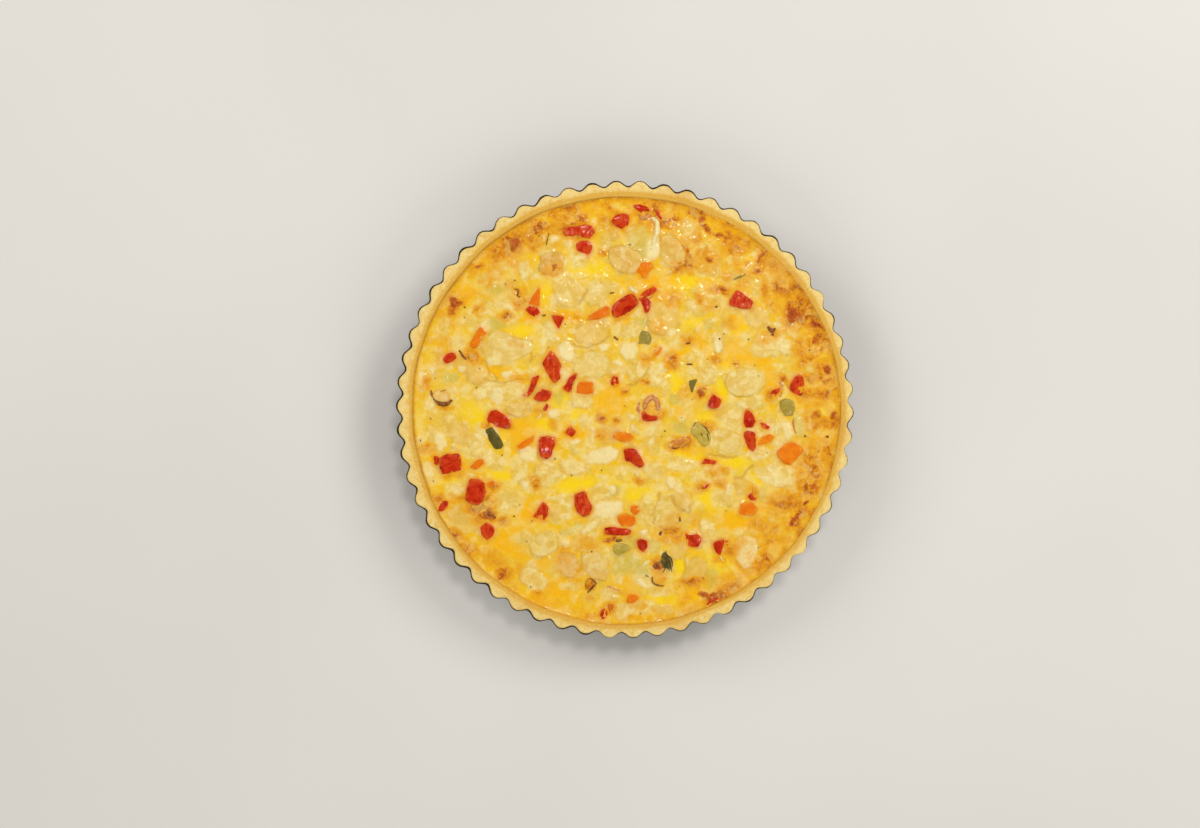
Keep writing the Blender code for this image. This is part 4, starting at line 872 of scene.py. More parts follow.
def egg_finish():
    """Baked egg: yellow where it is thin-skinned and wet, paler over the meat, browned at the rim."""
    egg = Finish("baked_egg", under=0.1, shine=0.08)
    broad = egg.noise(9 * MM, 2, 0.6)
    mottle = egg.noise(3.6 * MM, 2, 1.2)
    fine = egg.noise(1.3 * MM, 2)
    veil = egg.noise(6.5 * MM, 3, 1.6)
    crumb = egg.crumbs(4.8 * MM, 6 * MM)
    seam = egg.crumbs(6 * MM, 7 * MM, "Distance", "DISTANCE_TO_EDGE").between(0.14, 0.02)
    lump = egg.look("cream")
    pool = egg.look("lemon") + egg.look("amber")
    dry = (1 - pool).between(0.0, 0.9)
    cream = egg.mix((243, 213, 126), (235, 197, 88), mottle.between(0.42, 0.66))
    beige = egg.mix((239, 196, 104), (225, 173, 70), broad.between(0.4, 0.6))
    toast = egg.look("toast") * (1 + 2.0 * (mottle - 0.5) + 1.2 * (broad - 0.5) + 0.7 * (fine - 0.5))
    burnt = egg.look("burnt") * (1 + 1.8 * (mottle - 0.5) + 1.4 * (fine - 0.5))
    tone = egg.layers(
        egg.mix((249, 196, 18), (245, 203, 58), broad.between(0.42, 0.58)),
        ((240, 174, 30), mottle.between(0.54, 0.75) * 0.4),
        ((253, 226, 116), fine.between(0.54, 0.68) * 0.3),
        ((236, 178, 30), fine.between(0.44, 0.32) * 0.3),
        ((250, 228, 148), crumb.between(0.5, 0.72) * dry * 0.3),
        ((255, 214, 20), egg.look("lemon") * (0.75 + mottle * 0.4)),
        ((253, 184, 2), egg.look("amber") * (0.7 + mottle * 0.5)),
        (cream, lump * (0.7 + mottle * 0.5)),
        ((251, 232, 164), veil.between(0.5, 0.64) * (0.06 * dry + 0.5 * lump)),
        ((252, 236, 176), crumb.between(0.52, 0.74) * (0.05 * dry + 0.3 * lump)),
        ((228, 182, 60), crumb.between(0.46, 0.26) * (0.15 * dry + 0.4 * lump)),
        ((238, 186, 44), seam * (0.1 * dry + 0.2 * lump)),
        ((222, 178, 66), veil.between(0.46, 0.34) * (0.05 + 0.35 * lump)),
        (beige, egg.look("tan") * (0.55 + mottle * 0.5)),
        ((206, 184, 84), egg.look("green") * (0.4 + mottle * 0.5)),
        ((251, 231, 170), egg.look("white") * (0.6 + fine * 0.5)),
        ((252, 236, 178), fine.between(0.62, 0.76) * (0.05 + 0.14 * lump)),
        # Painted shade: a dark line and soft darkening round lumps, along creases and where the egg meets
        # pieces.
        ((196, 142, 50), egg.look("outline") * 0.7),
        ((230, 96, 12), egg.look("stain") * 0.8),
        ((236, 164, 22), toast.between(0.0, 0.45) * 0.85),
        ((212, 126, 18), toast.between(0.36, 0.85) * 0.85),
        ((166, 78, 10), toast.between(0.78, 1.1) * 0.8),
        ((250, 214, 112), crumb.between(0.56, 0.74) * egg.look("toast") * 0.4),
        ((253, 222, 150), fine.between(0.57, 0.7) * egg.look("toast") * 0.45),
        ((186, 84, 28), burnt.between(0.05, 0.6) * 0.85),
        ((138, 46, 24), burnt.between(0.5, 1.0) * 0.8),
    )
    egg.set("Base Color", tone)
    wet = egg.noise(2.4 * MM, 2, 1.0).between(0.54, 0.64)
    egg.set("Coat Weight", wet * (0.65 - 0.4 * egg.look("toast")) + 0.04)
    egg.set("Roughness", 0.4 + 0.2 * egg.look("toast") + 0.14 * mottle - 0.1 * egg.look("amber"))
    egg.relief(fine * 0.3 + egg.noise(0.6 * MM, 2) * 0.15 + mottle * 0.7 + crumb * 0.4, 0.33 * MM)
    return egg.material


def lump_finish():
    """Chicken, potato and onion under the thinnest skin of egg: pale, mottled, golden towards the edges."""
    meat = Finish("lumps_under_egg", under=0.12, shine=0.15)
    broad = meat.noise(7 * MM, 2, 0.6)
    mottle = meat.noise(3.4 * MM, 2, 1.2)
    fibre = meat.noise(2.2 * MM, 2, 0.9, stretch=(0.4, 1, 1))
    crumb = meat.crumbs(4.8 * MM, 6 * MM)
    pale = meat.mix((241, 209, 114), (231, 190, 80), broad.between(0.4, 0.6))
    beige = meat.mix((236, 189, 98), (222, 166, 70), broad.between(0.4, 0.6))
    toast = meat.look("toast") * (1 + 2.0 * (mottle - 0.5))
    tone = meat.layers(
        meat.mix(pale, (245, 220, 138), meat.look("own").between(0.5, 1.0) * 0.6),
        ((238, 198, 82), meat.look("own").between(0.4, 0.0) * 0.6),
        (beige, meat.look("tan") * (0.6 + 0.5 * mottle)),
        ((206, 184, 88), meat.look("green") * (0.4 + 0.6 * mottle)),
        ((251, 233, 172), meat.look("white") * (0.6 + 0.4 * mottle)),
        ((251, 233, 164), mottle.between(0.52, 0.68) * 0.3),
        ((251, 235, 174), crumb.between(0.54, 0.74) * 0.25),
        ((226, 178, 66), crumb.between(0.44, 0.26) * 0.3),
        ((218, 166, 72), fibre.between(0.58, 0.72) * (0.15 + 0.4 * meat.look("tan"))),
        ((236, 190, 66), meat.look("rim") * mottle.between(0.35, 0.6) * 0.55),
        ((234, 166, 50), toast.between(0.1, 0.6) * 0.8),
        ((200, 112, 28), toast.between(0.55, 1.0) * 0.85),
        ((150, 64, 16), meat.look("burnt").between(0.1, 0.8) * 0.85),
    )
    meat.set("Base Color", tone)
    meat.set("Coat Weight", meat.noise(2.4 * MM, 2, 1.0).between(0.54, 0.68) * 0.5 + 0.05)
    meat.set("Roughness", 0.4 + 0.16 * mottle)
    meat.relief(fibre * 0.25 + mottle * 0.7 + crumb * 0.4, 0.3 * MM)
    return meat.material


def crust_finish():
    """Baked shortcrust: pale and sandy, with a thin line of painted shade where it meets the filling."""
    crust = Finish("baked_pastry", roughness=0.8, under=0.06)
    broad = crust.noise(12 * MM, 2, 0.4)
    grain = crust.noise(0.9 * MM, 4)
    mottle = crust.noise(2.6 * MM, 3, 0.5)
    tone = crust.layers(
        crust.mix((241, 204, 114), (238, 195, 96), broad.between(0.38, 0.62)),
        ((246, 216, 138), crust.look("tip") * 0.7),
        ((250, 226, 154), mottle.between(0.54, 0.66) * 0.55),
        ((224, 172, 72), mottle.between(0.46, 0.35) * 0.45),
        # Golden band at the inner edge, widened on one side with painted shade.
        ((226, 170, 56), crust.look("inner") * 0.85),
        ((206, 152, 66), grain.between(0.56, 0.72) * 0.4),
        ((252, 230, 164), grain.between(0.44, 0.3) * 0.35),
        # Painted shade along the inner edge.
        ((172, 126, 24), crust.look("line") * 0.6),
        ((216, 152, 60), crust.look("toast") * broad.between(0.35, 0.65) * 0.4),
    )
    crust.set("Base Color", tone)
    crust.relief(grain * 0.6 + mottle * 0.8, 0.25 * MM)
    return crust.material


def tin_finish():
    """Dark coated steel, dulled and stained by use, rubbed bare on the flute tips."""
    tin = Finish("dark_coated_steel", roughness=0.5, metallic=0.25)
    haze = tin.noise(18 * MM, 4, 0.6)
    stain = tin.noise(5 * MM, 3, 1.0)
    tone = tin.layers(
        tin.mix((38, 28, 18), (62, 48, 32), haze.between(0.35, 0.7)),
        ((96, 62, 34), stain.between(0.6, 0.78) * 0.5),
        ((118, 100, 78), tin.look("rub") * haze.between(0.4, 0.7) * 0.5),
    )
    tin.set("Base Color", tone)
    tin.set("Roughness", 0.34 + 0.25 * haze)
    tin.relief(tin.noise(0.7 * MM, 2), 0.03 * MM)
    return tin.material


def pepper_finish():
    """Cooked red pepper: glossy skin on some pieces, wet ribbed flesh on others, lighter cut edges."""
    pepper = Finish("cooked_red_pepper", under=0.02, shine=0.08)
    blotch = pepper.noise(3.2 * MM, 2, 0.8)
    patch = pepper.noise(7 * MM, 2, 1.0)
    fibre = pepper.noise(1.6 * MM, 3, 0.8, stretch=(1, 0.35, 1))
    flesh = pepper.mix((232, 92, 30), (192, 34, 4), fibre.between(0.4, 0.62))
    tone = pepper.layers(
        pepper.mix((174, 16, 2), (204, 44, 8), blotch.between(0.34, 0.58)),
        ((214, 58, 16), pepper.look("own") * 0.4),
        ((216, 88, 20), patch.between(0.5, 0.62) * (0.3 + 0.4 * pepper.look("flesh"))),
        (flesh, pepper.look("flesh") * (0.6 + 0.6 * blotch)),
        ((150, 12, 2), patch.between(0.44, 0.36) * 0.45),
        ((226, 104, 34), pepper.look("rim") * blotch.between(0.32, 0.56) * 0.75),
        ((130, 10, 2), pepper.look("rim") * blotch.between(0.52, 0.38) * 0.45),
    )
    pepper.set("Base Color", tone)
    pepper.set("Coat Weight", 0.08 + 0.5 * blotch.between(0.48, 0.62))
    pepper.set("Roughness", 0.24 + 0.2 * pepper.look("flesh") + 0.12 * blotch)
    pepper.relief(fibre * (0.1 + pepper.look("flesh")) + blotch * 0.3, 0.35 * MM)
    return pepper.material


def carrot_finish():
    """Cooked carrot: soft orange with a paler core and a thin skin of egg at its edges."""
    carrot = Finish("cooked_carrot", coat=0.06, under=0.1, shine=0.08)
    blotch = carrot.noise(3.4 * MM, 2, 0.5)
    tone = carrot.layers(
        carrot.mix((238, 119, 4), (242, 140, 16), blotch.between(0.35, 0.65)),
        ((232, 104, 10), carrot.look("own") * 0.6),
        ((244, 172, 52), carrot.look("rim") * blotch.between(0.35, 0.65) * 0.75),
    )
    carrot.set("Base Color", tone)
    carrot.set("Roughness", 0.36 + 0.2 * blotch)
    carrot.relief(carrot.noise(0.9 * MM, 3), 0.2 * MM)
    return carrot.material


def green_finish():
    """Cooked green pepper and leek, from olive to nearly black-green, with pale veins."""
    green = Finish("cooked_green", coat=0.15, under=0.06, shine=0.15)
    blotch = green.noise(2.6 * MM, 2, 0.7)
    vein = green.noise(1.2 * MM, 2, 1.2, stretch=(0.4, 1, 1))
    edge = green.look("rim") * blotch.between(0.4, 0.65) * (1 - green.look("dark"))
    tone = green.layers(
        green.mix((188, 158, 46), (206, 178, 78), blotch.between(0.35, 0.65)),
        ((78, 70, 22), green.look("dark") * (0.75 + 0.4 * blotch)),
        ((214, 190, 100), vein.between(0.54, 0.7) * (1 - green.look("dark")) * 0.7),
        ((52, 48, 22), vein.between(0.56, 0.7) * green.look("dark") * 0.6),
        ((226, 186, 70), edge * 0.6),
    )
    green.set("Base Color", tone)
    green.set("Roughness", 0.34 + 0.2 * blotch)
    green.relief(vein, 0.25 * MM)
    return green.material


def plain_finish(name, light, dark, size, roughness, coat=0.0, under=0.0):
    """Two tones in soft patches, for the small scattered things."""
    made = Finish(name, roughness=roughness, coat=coat, under=under)
    patch = made.noise(size, 3, 0.6)
    made.set("Base Color", made.mix(light, dark, patch.between(0.38, 0.64)))
    made.relief(made.noise(size / 3, 2), 0.15 * MM)
    return made.material


# ---------------------------------------------------------------- the tin and the crust


def make_tin():
    """Thin sheet pressed into flutes, on a flat base that is stepped up a little in the middle."""
    foot = TIN_TIP_RADIUS - SIDE_LEAN * TIN_HEIGHT
    bpy.ops.mesh.primitive_circle_add(vertices=FLUTES * POINTS_PER_FLUTE, radius=foot, fill_type="NGON")
    tin = new_piece("fluted_tin")
    bpy.ops.object.mode_set(mode="EDIT")
    bpy.ops.mesh.select_mode(type="FACE")
    bpy.ops.mesh.select_all(action="SELECT")
    for ring in (1.0, 8.0, 0.8):
        bpy.ops.mesh.inset(thickness=ring * MM)
    bpy.ops.transform.translate(value=(0, 0, 0.6 * MM))
    bpy.ops.mesh.inset(thickness=30 * MM)
    bpy.ops.mesh.select_mode(type="EDGE")
    bpy.ops.mesh.select_all(action="DESELECT")
    bpy.ops.mesh.select_non_manifold(extend=False)
    widths = [foot + SIDE_LEAN * TIN_HEIGHT * row / TIN_ROWS for row in range(TIN_ROWS + 1)]
    for width, next_width in zip(widths, widths[1:]):
        bpy.ops.mesh.extrude_edges_move(TRANSFORM_OT_translate={"value": (0, 0, TIN_HEIGHT / TIN_ROWS)})
        size = next_width / width
        bpy.ops.transform.resize(value=(size, size, 1), center_override=(0, 0, 0))
    bpy.ops.object.mode_set(mode="OBJECT")
    points = points_of(tin)
    radius, angle = polar(points)
    on_side = ease(foot - 3 * MM, foot, radius)
    points[:, :2] *= (1 - FLUTE_DEPTH * flute_wave(angle) * on_side / radius)[:, None]
    move_points(tin, points)
    face_outwards(tin)
    paint(tin, "rub", on_side * (1 - flute_wave(angle)) ** 3)
    sheet = tin.modifiers.new("sheet", "SOLIDIFY")
    sheet.thickness = TIN_SHEET
    sheet.offset = -1
    sheet.use_rim = True
    settle(tin)
    face_outwards(tin)
    bpy.ops.object.shade_smooth_by_angle(angle=math.radians(50))
    tin.data.materials.append(tin_finish())
    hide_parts("tin")
    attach(tin, "root")


def make_crust():
    """The case: fluted outside by the tin, nearly round inside, with a soft uneven rim."""
    foot_z = 1.1 * MM
    tip = TIN_TIP_RADIUS - TIN_SHEET - TIN_GAP
    heights = (1.1, 8, 15, 22, 27, 28.5, 29.3, 29.9)
    outer = [(tip - SIDE_LEAN * (TIN_HEIGHT - z * MM), z * MM) for z in heights]
    shoulder = [(tip - 0.05 * MM, 30.4 * MM), (tip - 0.25 * MM, 30.7 * MM), (tip - 0.6 * MM, 30.92 * MM)]
    brim = tip - 1.2 * MM
    top = [(brim + (CRUST_INNER_RADIUS - brim) * i / 12, CRUST_TOP) for i in range(13)]
    curl = ((0.2, 0.08), (0.38, 0.28), (0.46, 0.6))
    lip = [(CRUST_INNER_RADIUS - r * MM, CRUST_TOP - z * MM) for r, z in curl]
    depths = (1.1, 1.7, 2.4, 3.4, 5, 10, 26)
    inner = [(CRUST_INNER_RADIUS - (0.36 + 0.176 * z) * MM, CRUST_TOP - z * MM) for z in depths]
    bpy.ops.mesh.primitive_circle_add(
        vertices=FLUTES * POINTS_PER_FLUTE, radius=outer[0][0], fill_type="NGON", location=(0, 0, foot_z)
    )
    crust = new_piece("pastry_case")
    bpy.ops.object.transform_apply(location=True)
    bpy.ops.object.mode_set(mode="EDIT")
    bpy.ops.mesh.select_mode(type="FACE")
    bpy.ops.mesh.select_all(action="SELECT")
    raise_walls(outer + shoulder + top + lip + inner)
    bpy.ops.object.mode_set(mode="OBJECT")
    points = points_of(crust)
    radius, angle = polar(points)
    x, y, z = points.T  # these move with the points
    side_radius = tip - SIDE_LEAN * (TIN_HEIGHT - np.minimum(z, TIN_HEIGHT))
    inwards = ease(CRUST_INNER_RADIUS + 0.2 * MM, brim, radius)
    inwards = np.where(z < 29 * MM, radius > side_radius - 1 * MM, inwards)
    lumps = 0.25 * MM * wander(x, y, 7 * MM, 4)
    wavering = 0.06 * (1 - np.cos(angle - SPILL_SIDE)) + 0.45 * wander(x, y, 14 * MM, 10)
    shrink = np.clip(wavering, -0.3, 0.6) * MM * ease(28 * MM, 30.3 * MM, z)
    spill = 0.3 * MM * ease(-0.1, 0.9, np.cos(angle - SPILL_SIDE)) * ease(30 * MM, 30.3 * MM, z)
    depth = FLUTE_DEPTH * flute_wave(angle) + (shrink + lumps * ease(28 * MM, 30 * MM, z)) - spill
    inner_shift = case_radius(angle, CRUST_TOP) - CRUST_INNER_RADIUS
    new_radius = radius - depth * inwards + inner_shift * (1 - inwards)
    points[:, :2] *= (new_radius / radius)[:, None]
    on_top = ease(CRUST_TOP - 1.2 * MM, CRUST_TOP - 0.2 * MM, z)
    sag = 0.3 * MM * wander(x, y, 16 * MM, 5) + 0.14 * MM * wander(x, y, 5 * MM, 6)
    sag += 0.06 * MM * wander(x, y, 2 * MM, 7)
    crown = 0.25 * MM * np.sin(np.clip((new_radius - CRUST_INNER_RADIUS) / (5 * MM), 0, 1) * math.pi)
    points[:, 2] += on_top * (sag + crown - 0.25 * MM)
    move_points(crust, points)
    face_outwards(crust)
    from_edge = new_radius - case_radius(angle, CRUST_TOP)
    # Painted shade along the inner edge, darkest on one side.
    patchy = 0.8 + 0.5 * wander(x, y, 9 * MM, 8)
    shade_line_side = 0.2 + 0.75 * ease(-0.1, 0.9, np.cos(angle - SHADE_LINE_SIDE))
    paint(crust, "line", ease(0.5 * MM, 0.0 * MM, from_edge) * patchy * shade_line_side)
    # The golden band is widened on one side with painted shade of the wall.
    shaded_edge_side = ease(-0.1, 0.8, np.cos(angle - SHADED_EDGE_SIDE))
    golden = from_edge + 0.5 * MM * wander(x, y, 8 * MM, 11) - 0.9 * MM * shaded_edge_side
    paint(crust, "inner", ease(2.6 * MM, 1.1 * MM, golden))
    paint(crust, "tip", ease(2.0 * MM, 5.0 * MM, from_edge))
    paint(crust, "toast", ease(0.2, 0.8, wander(x, y, 22 * MM, 9)))
    bpy.ops.object.shade_smooth_by_angle(angle=math.radians(60))
    crust.data.materials.append(crust_finish())
    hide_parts("crust")
    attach(crust, "root")


# ---------------------------------------------------------------- pieces in the filling


def soften(piece, grain, seed, bend, ruffle, tilt, rounds):
    """Cooks a cut block: its edges rounded off, bent across its width, tilted and a little shrivelled."""
    only(piece)
    skin = piece.modifiers.new("even_skin", "REMESH")
    skin.mode = "VOXEL"
    skin.voxel_size = grain
    rounding = piece.modifiers.new("rounding", "SMOOTH")
    rounding.factor = 0.5
    rounding.iterations = rounds
    settle(piece)
    points = points_of(piece)
    middle = (points.max(0) + points.min(0)) / 2
    flat = points[:, :2] - middle[:2]
    axes = np.linalg.eigh(np.cov(flat.T))[1]
    along, across = flat @ axes[:, 1], flat @ axes[:, 0]
    along, across = np.abs(along) / np.abs(along).max(), np.abs(across) / np.abs(across).max()
    chance = random.Random(seed)
    upper = ease(-0.5 * MM, 1 * MM, points[:, 2] - middle[2])
    points[:, 2] += upper * bend * (0.5 - across**2)
    lean_x, lean_y = (math.tan(math.radians(chance.uniform(-tilt, tilt))) for _ in range(2))
    points[:, 2] += flat[:, 0] * lean_x + flat[:, 1] * lean_y
    offset = Vector((chance.uniform(-9, 9), chance.uniform(-9, 9), seed % 7))
    shift = (crumple(points, 4.5 * MM, offset) + crumple(points, 1.9 * MM, offset) * 0.22) * ruffle
    shift[:, 2] *= 1.3
    move_points(piece, points + shift)
    paint(piece, "rim", ease(0.6, 1.0, np.maximum(along, across)))
    paint(piece, "own", chance.random())
    return piece


def slab(points, depth, rise):
    """A piece cut to a drawn outline, its top standing rise above the filling."""
    outline = smooth_outline(points, CORNER_CUT)
    middle = outline.mean(0)
    run = np.roll(outline, -1, 0) - np.roll(outline, 1, 0)
    length = np.hypot(run[:, 0], run[:, 1])[:, None] + 1e-9
    outline += SPARE * np.column_stack((run[:, 1], -run[:, 0])) / length
    bpy.ops.mesh.primitive_circle_add(vertices=len(outline), radius=1, fill_type="NGON")
    made = bpy.context.object
    top = float(rest_height(middle[:1], middle[1:])[0]) + rise * MM
    move_points(made, np.column_stack((outline, np.full(len(outline), top))))
    only(made)
    bpy.ops.object.mode_set(mode="EDIT")
    bpy.ops.mesh.select_all(action="SELECT")
    bpy.ops.mesh.extrude_region_move(TRANSFORM_OT_translate={"value": (0, 0, -depth * MM)})
    bpy.ops.mesh.select_all(action="SELECT")
    bpy.ops.mesh.normals_make_consistent(inside=False)
    bpy.ops.object.mode_set(mode="OBJECT")
    return made


def cut_block(row, depth, rise):
    """A cut piece from one row, standing rise out of the filling."""
    x, y, length, width, turn, taper = row
    z = height_at(x, y) + (rise - depth / 2) * MM
    turned = (0, 0, math.radians(turn))
    bpy.ops.mesh.primitive_cube_add(size=1, location=(x * MM, y * MM, z), rotation=turned)
    made = bpy.context.object
    for corner in made.data.vertices:
        corner.co.x *= length * MM
        corner.co.y *= width * MM * (taper if corner.co.x > 0 else 1)
        corner.co.z *= depth * MM
    return settle(made)


def lump(row, rise, seed, tan, white):
    """A small soft lump of what lies in the egg, flat-topped and crumpled, standing rise out of it."""
    x, y, length, width, turn = row
    chance = random.Random(seed)
    across = min(length, width)
    depth = 2.0
    z = height_at(x, y) + (rise - depth / 2) * MM
    bpy.ops.mesh.primitive_ico_sphere_add(subdivisions=3, radius=1)
    made = bpy.context.object
    ball = points_of(made)
    ring, angle = polar(ball)
    square = (np.abs(np.cos(angle)) ** 2.6 + np.abs(np.sin(angle)) ** 2.6) ** (-1 / 2.6)
    ring = ring**0.55 * square
    flat = np.stack((ring * np.cos(angle) * length / 2, ring * np.sin(angle) * width / 2), 1)
    height = np.sign(ball[:, 2]) * np.abs(ball[:, 2]) ** 0.75 * depth / 2
    c, s = math.cos(math.radians(turn)), math.sin(math.radians(turn))
    points = np.stack((flat[:, 0] * c - flat[:, 1] * s, flat[:, 0] * s + flat[:, 1] * c, height), 1)
    offset = Vector((chance.uniform(-9, 9), chance.uniform(-9, 9), seed % 5))
    shift = crumple(points, 0.55 * across, offset) * 0.14 * across
    shift += crumple(points, 2.2, offset) * (0.08 * across)
    shift += crumple(points, 1.0, offset) * 0.05
    shift[:, 2] *= 0.35
    points = points + shift
    points[:, 2] += points[:, 0] * math.tan(math.radians(chance.uniform(-4, 4)))
    points[:, 2] += points[:, 1] * math.tan(math.radians(chance.uniform(-4, 4)))
    move_points(made, points * MM + np.array((x * MM, y * MM, z)))
    looks = {"tan": tan, "white": white, "green": 0, "own": chance.random(), "rim": ease(0.6, 1.0, ring)}
    for look, amount in looks.items():
        paint(made, look, amount)
    return made


def dress(pieces, name, material, nodes=()):
    """Joins pieces of one kind, gives them their finish and sets them on the tin's body."""
    joined = join(pieces, name)
    joined.data.materials.append(material)
    face_outwards(joined)
    bpy.ops.object.shade_smooth()
    if nodes:
        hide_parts(*nodes)
    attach(joined, "root")
    return joined


def nodes_of(kind):
    return sorted(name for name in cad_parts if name.startswith(kind + "_"))


def diced(points, seed, bend, tilt, proud=1.0):
    """One cooked piece of a cut vegetable, thicker and prouder of the filling the bigger it is."""
    size = breadth(points)
    block = slab(points, min(4.6, 1.5 + 0.27 * size), (0.45 + 0.09 * size) * proud)
    grain, ruffle, rounds = (0.42, 0.34, 4) if size > 6 else (0.3, 0.22, 3)
    return soften(block, grain * MM, seed, bend, ruffle * MM, tilt, rounds)


def make_peppers():
    pieces = []
    for seed, (flesh, points) in enumerate(PEPPERS):
        piece = diced(points, seed, (1.1 - 1.9 * flesh) * MM, 7)
        paint(piece, "flesh", flesh)
        pieces.append(piece)
    return dress(pieces, "red_peppers", pepper_finish(), nodes_of("pepper"))


def make_carrots():
    pieces = [diced(points, 80 + seed, 0.1 * MM, 3, 0.85) for seed, points in enumerate(CARROTS)]
    return dress(pieces, "carrots", carrot_finish(), nodes_of("carrot"))


def make_greens():
    pieces = []
    for seed, (dark, points) in enumerate(GREENS):
        piece = diced(points, 130 + seed, 0.3 * MM, 4, 0.85)
        paint(piece, "dark", dark)
        pieces.append(piece)
    return dress(pieces, "greens", green_finish(), nodes_of("green"))


def inside(row, x, y, margin):
    """Whether a point in millimetres is inside a patch or within a margin of it."""
    c, s = math.cos(math.radians(row[4])), math.sin(math.radians(row[4]))
    along = ((x - row[0]) * c + (y - row[1]) * s) / (row[2] / 2 + margin)
    across = ((y - row[1]) * c - (x - row[0]) * s) / (row[3] / 2 + margin)
    return along * along + across * across < 1


def brown_lumps(lumps):
    """Gives lumps the same browning as the egg round them."""
    points = points_of(lumps)
    top = EggTop(points[:, 0], points[:, 1])
    brown_egg(top, *polar(points))
    paint(lumps, "toast", top.looks["toast"] * 0.8)
    paint(lumps, "burnt", top.looks["burnt"])
    return lumps


def make_chicken(finish):
    """The clear pieces of chicken and potato."""
    pieces = []
    for seed, (kind, _, points) in enumerate(CLEAR_LUMPS):
        piece = soften(slab(points, 4, 0.55), 0.5 * MM, 160 + seed, 0.3 * MM, 0.35 * MM, 3, 4)
        tan = {"cream": 0.2, "tan": 0.75, "toasted": 1.3}[kind]
        for look, amount in (("tan", tan), ("white", 0), ("green", 0)):
            paint(piece, look, amount)
        pieces.append(piece)
    return brown_lumps(dress(pieces, "chicken_pieces", finish, nodes_of("chicken")))


def anywhere(chance, reach):
    """A place drawn evenly from within reach of the middle."""
    far, angle = reach * math.sqrt(chance.random()), chance.uniform(0, 2 * math.pi)
    return far * math.cos(angle), far * math.sin(angle)


def make_crumbs(finish):
    """The many small bits that only just show in the egg, clear of the pools and of what is drawn."""
    chance = random.Random(17)
    outlines = [smooth_outline(row[-1], 0.25) for row in LUMPS + PEPPERS]
    spots = []
    pieces = []
    while len(spots) < SMALL_LUMPS:
        x, y = anywhere(chance, SMALL_LUMPS_REACH)
        row = (x, y, chance.uniform(2.6, 6), chance.uniform(2.2, 3.8), chance.uniform(0, 180))
        kind = chance.random()
        if any(inside(pool, x, y, -0.5) for pool in LEMON + AMBER):
            continue
        here = np.array([x * MM]), np.array([y * MM])
        if any(depth_inside(outline, *here)[0] > -1 * MM for outline in outlines):
            continue
        if any(math.hypot(x - other[0], y - other[1]) < 3.2 for other in spots):
            continue
        spots.append((x, y))
        rise, tan, white = chance.uniform(0.05, 0.3), 0.8 * (kind < 0.3), 0.5 * (kind > 0.85)
        pieces.append(lump(row, rise, 700 + len(spots), tan, white))
    return brown_lumps(dress(pieces, "potato_and_onion", finish))


# ---------------------------------------------------------------- the baked filling


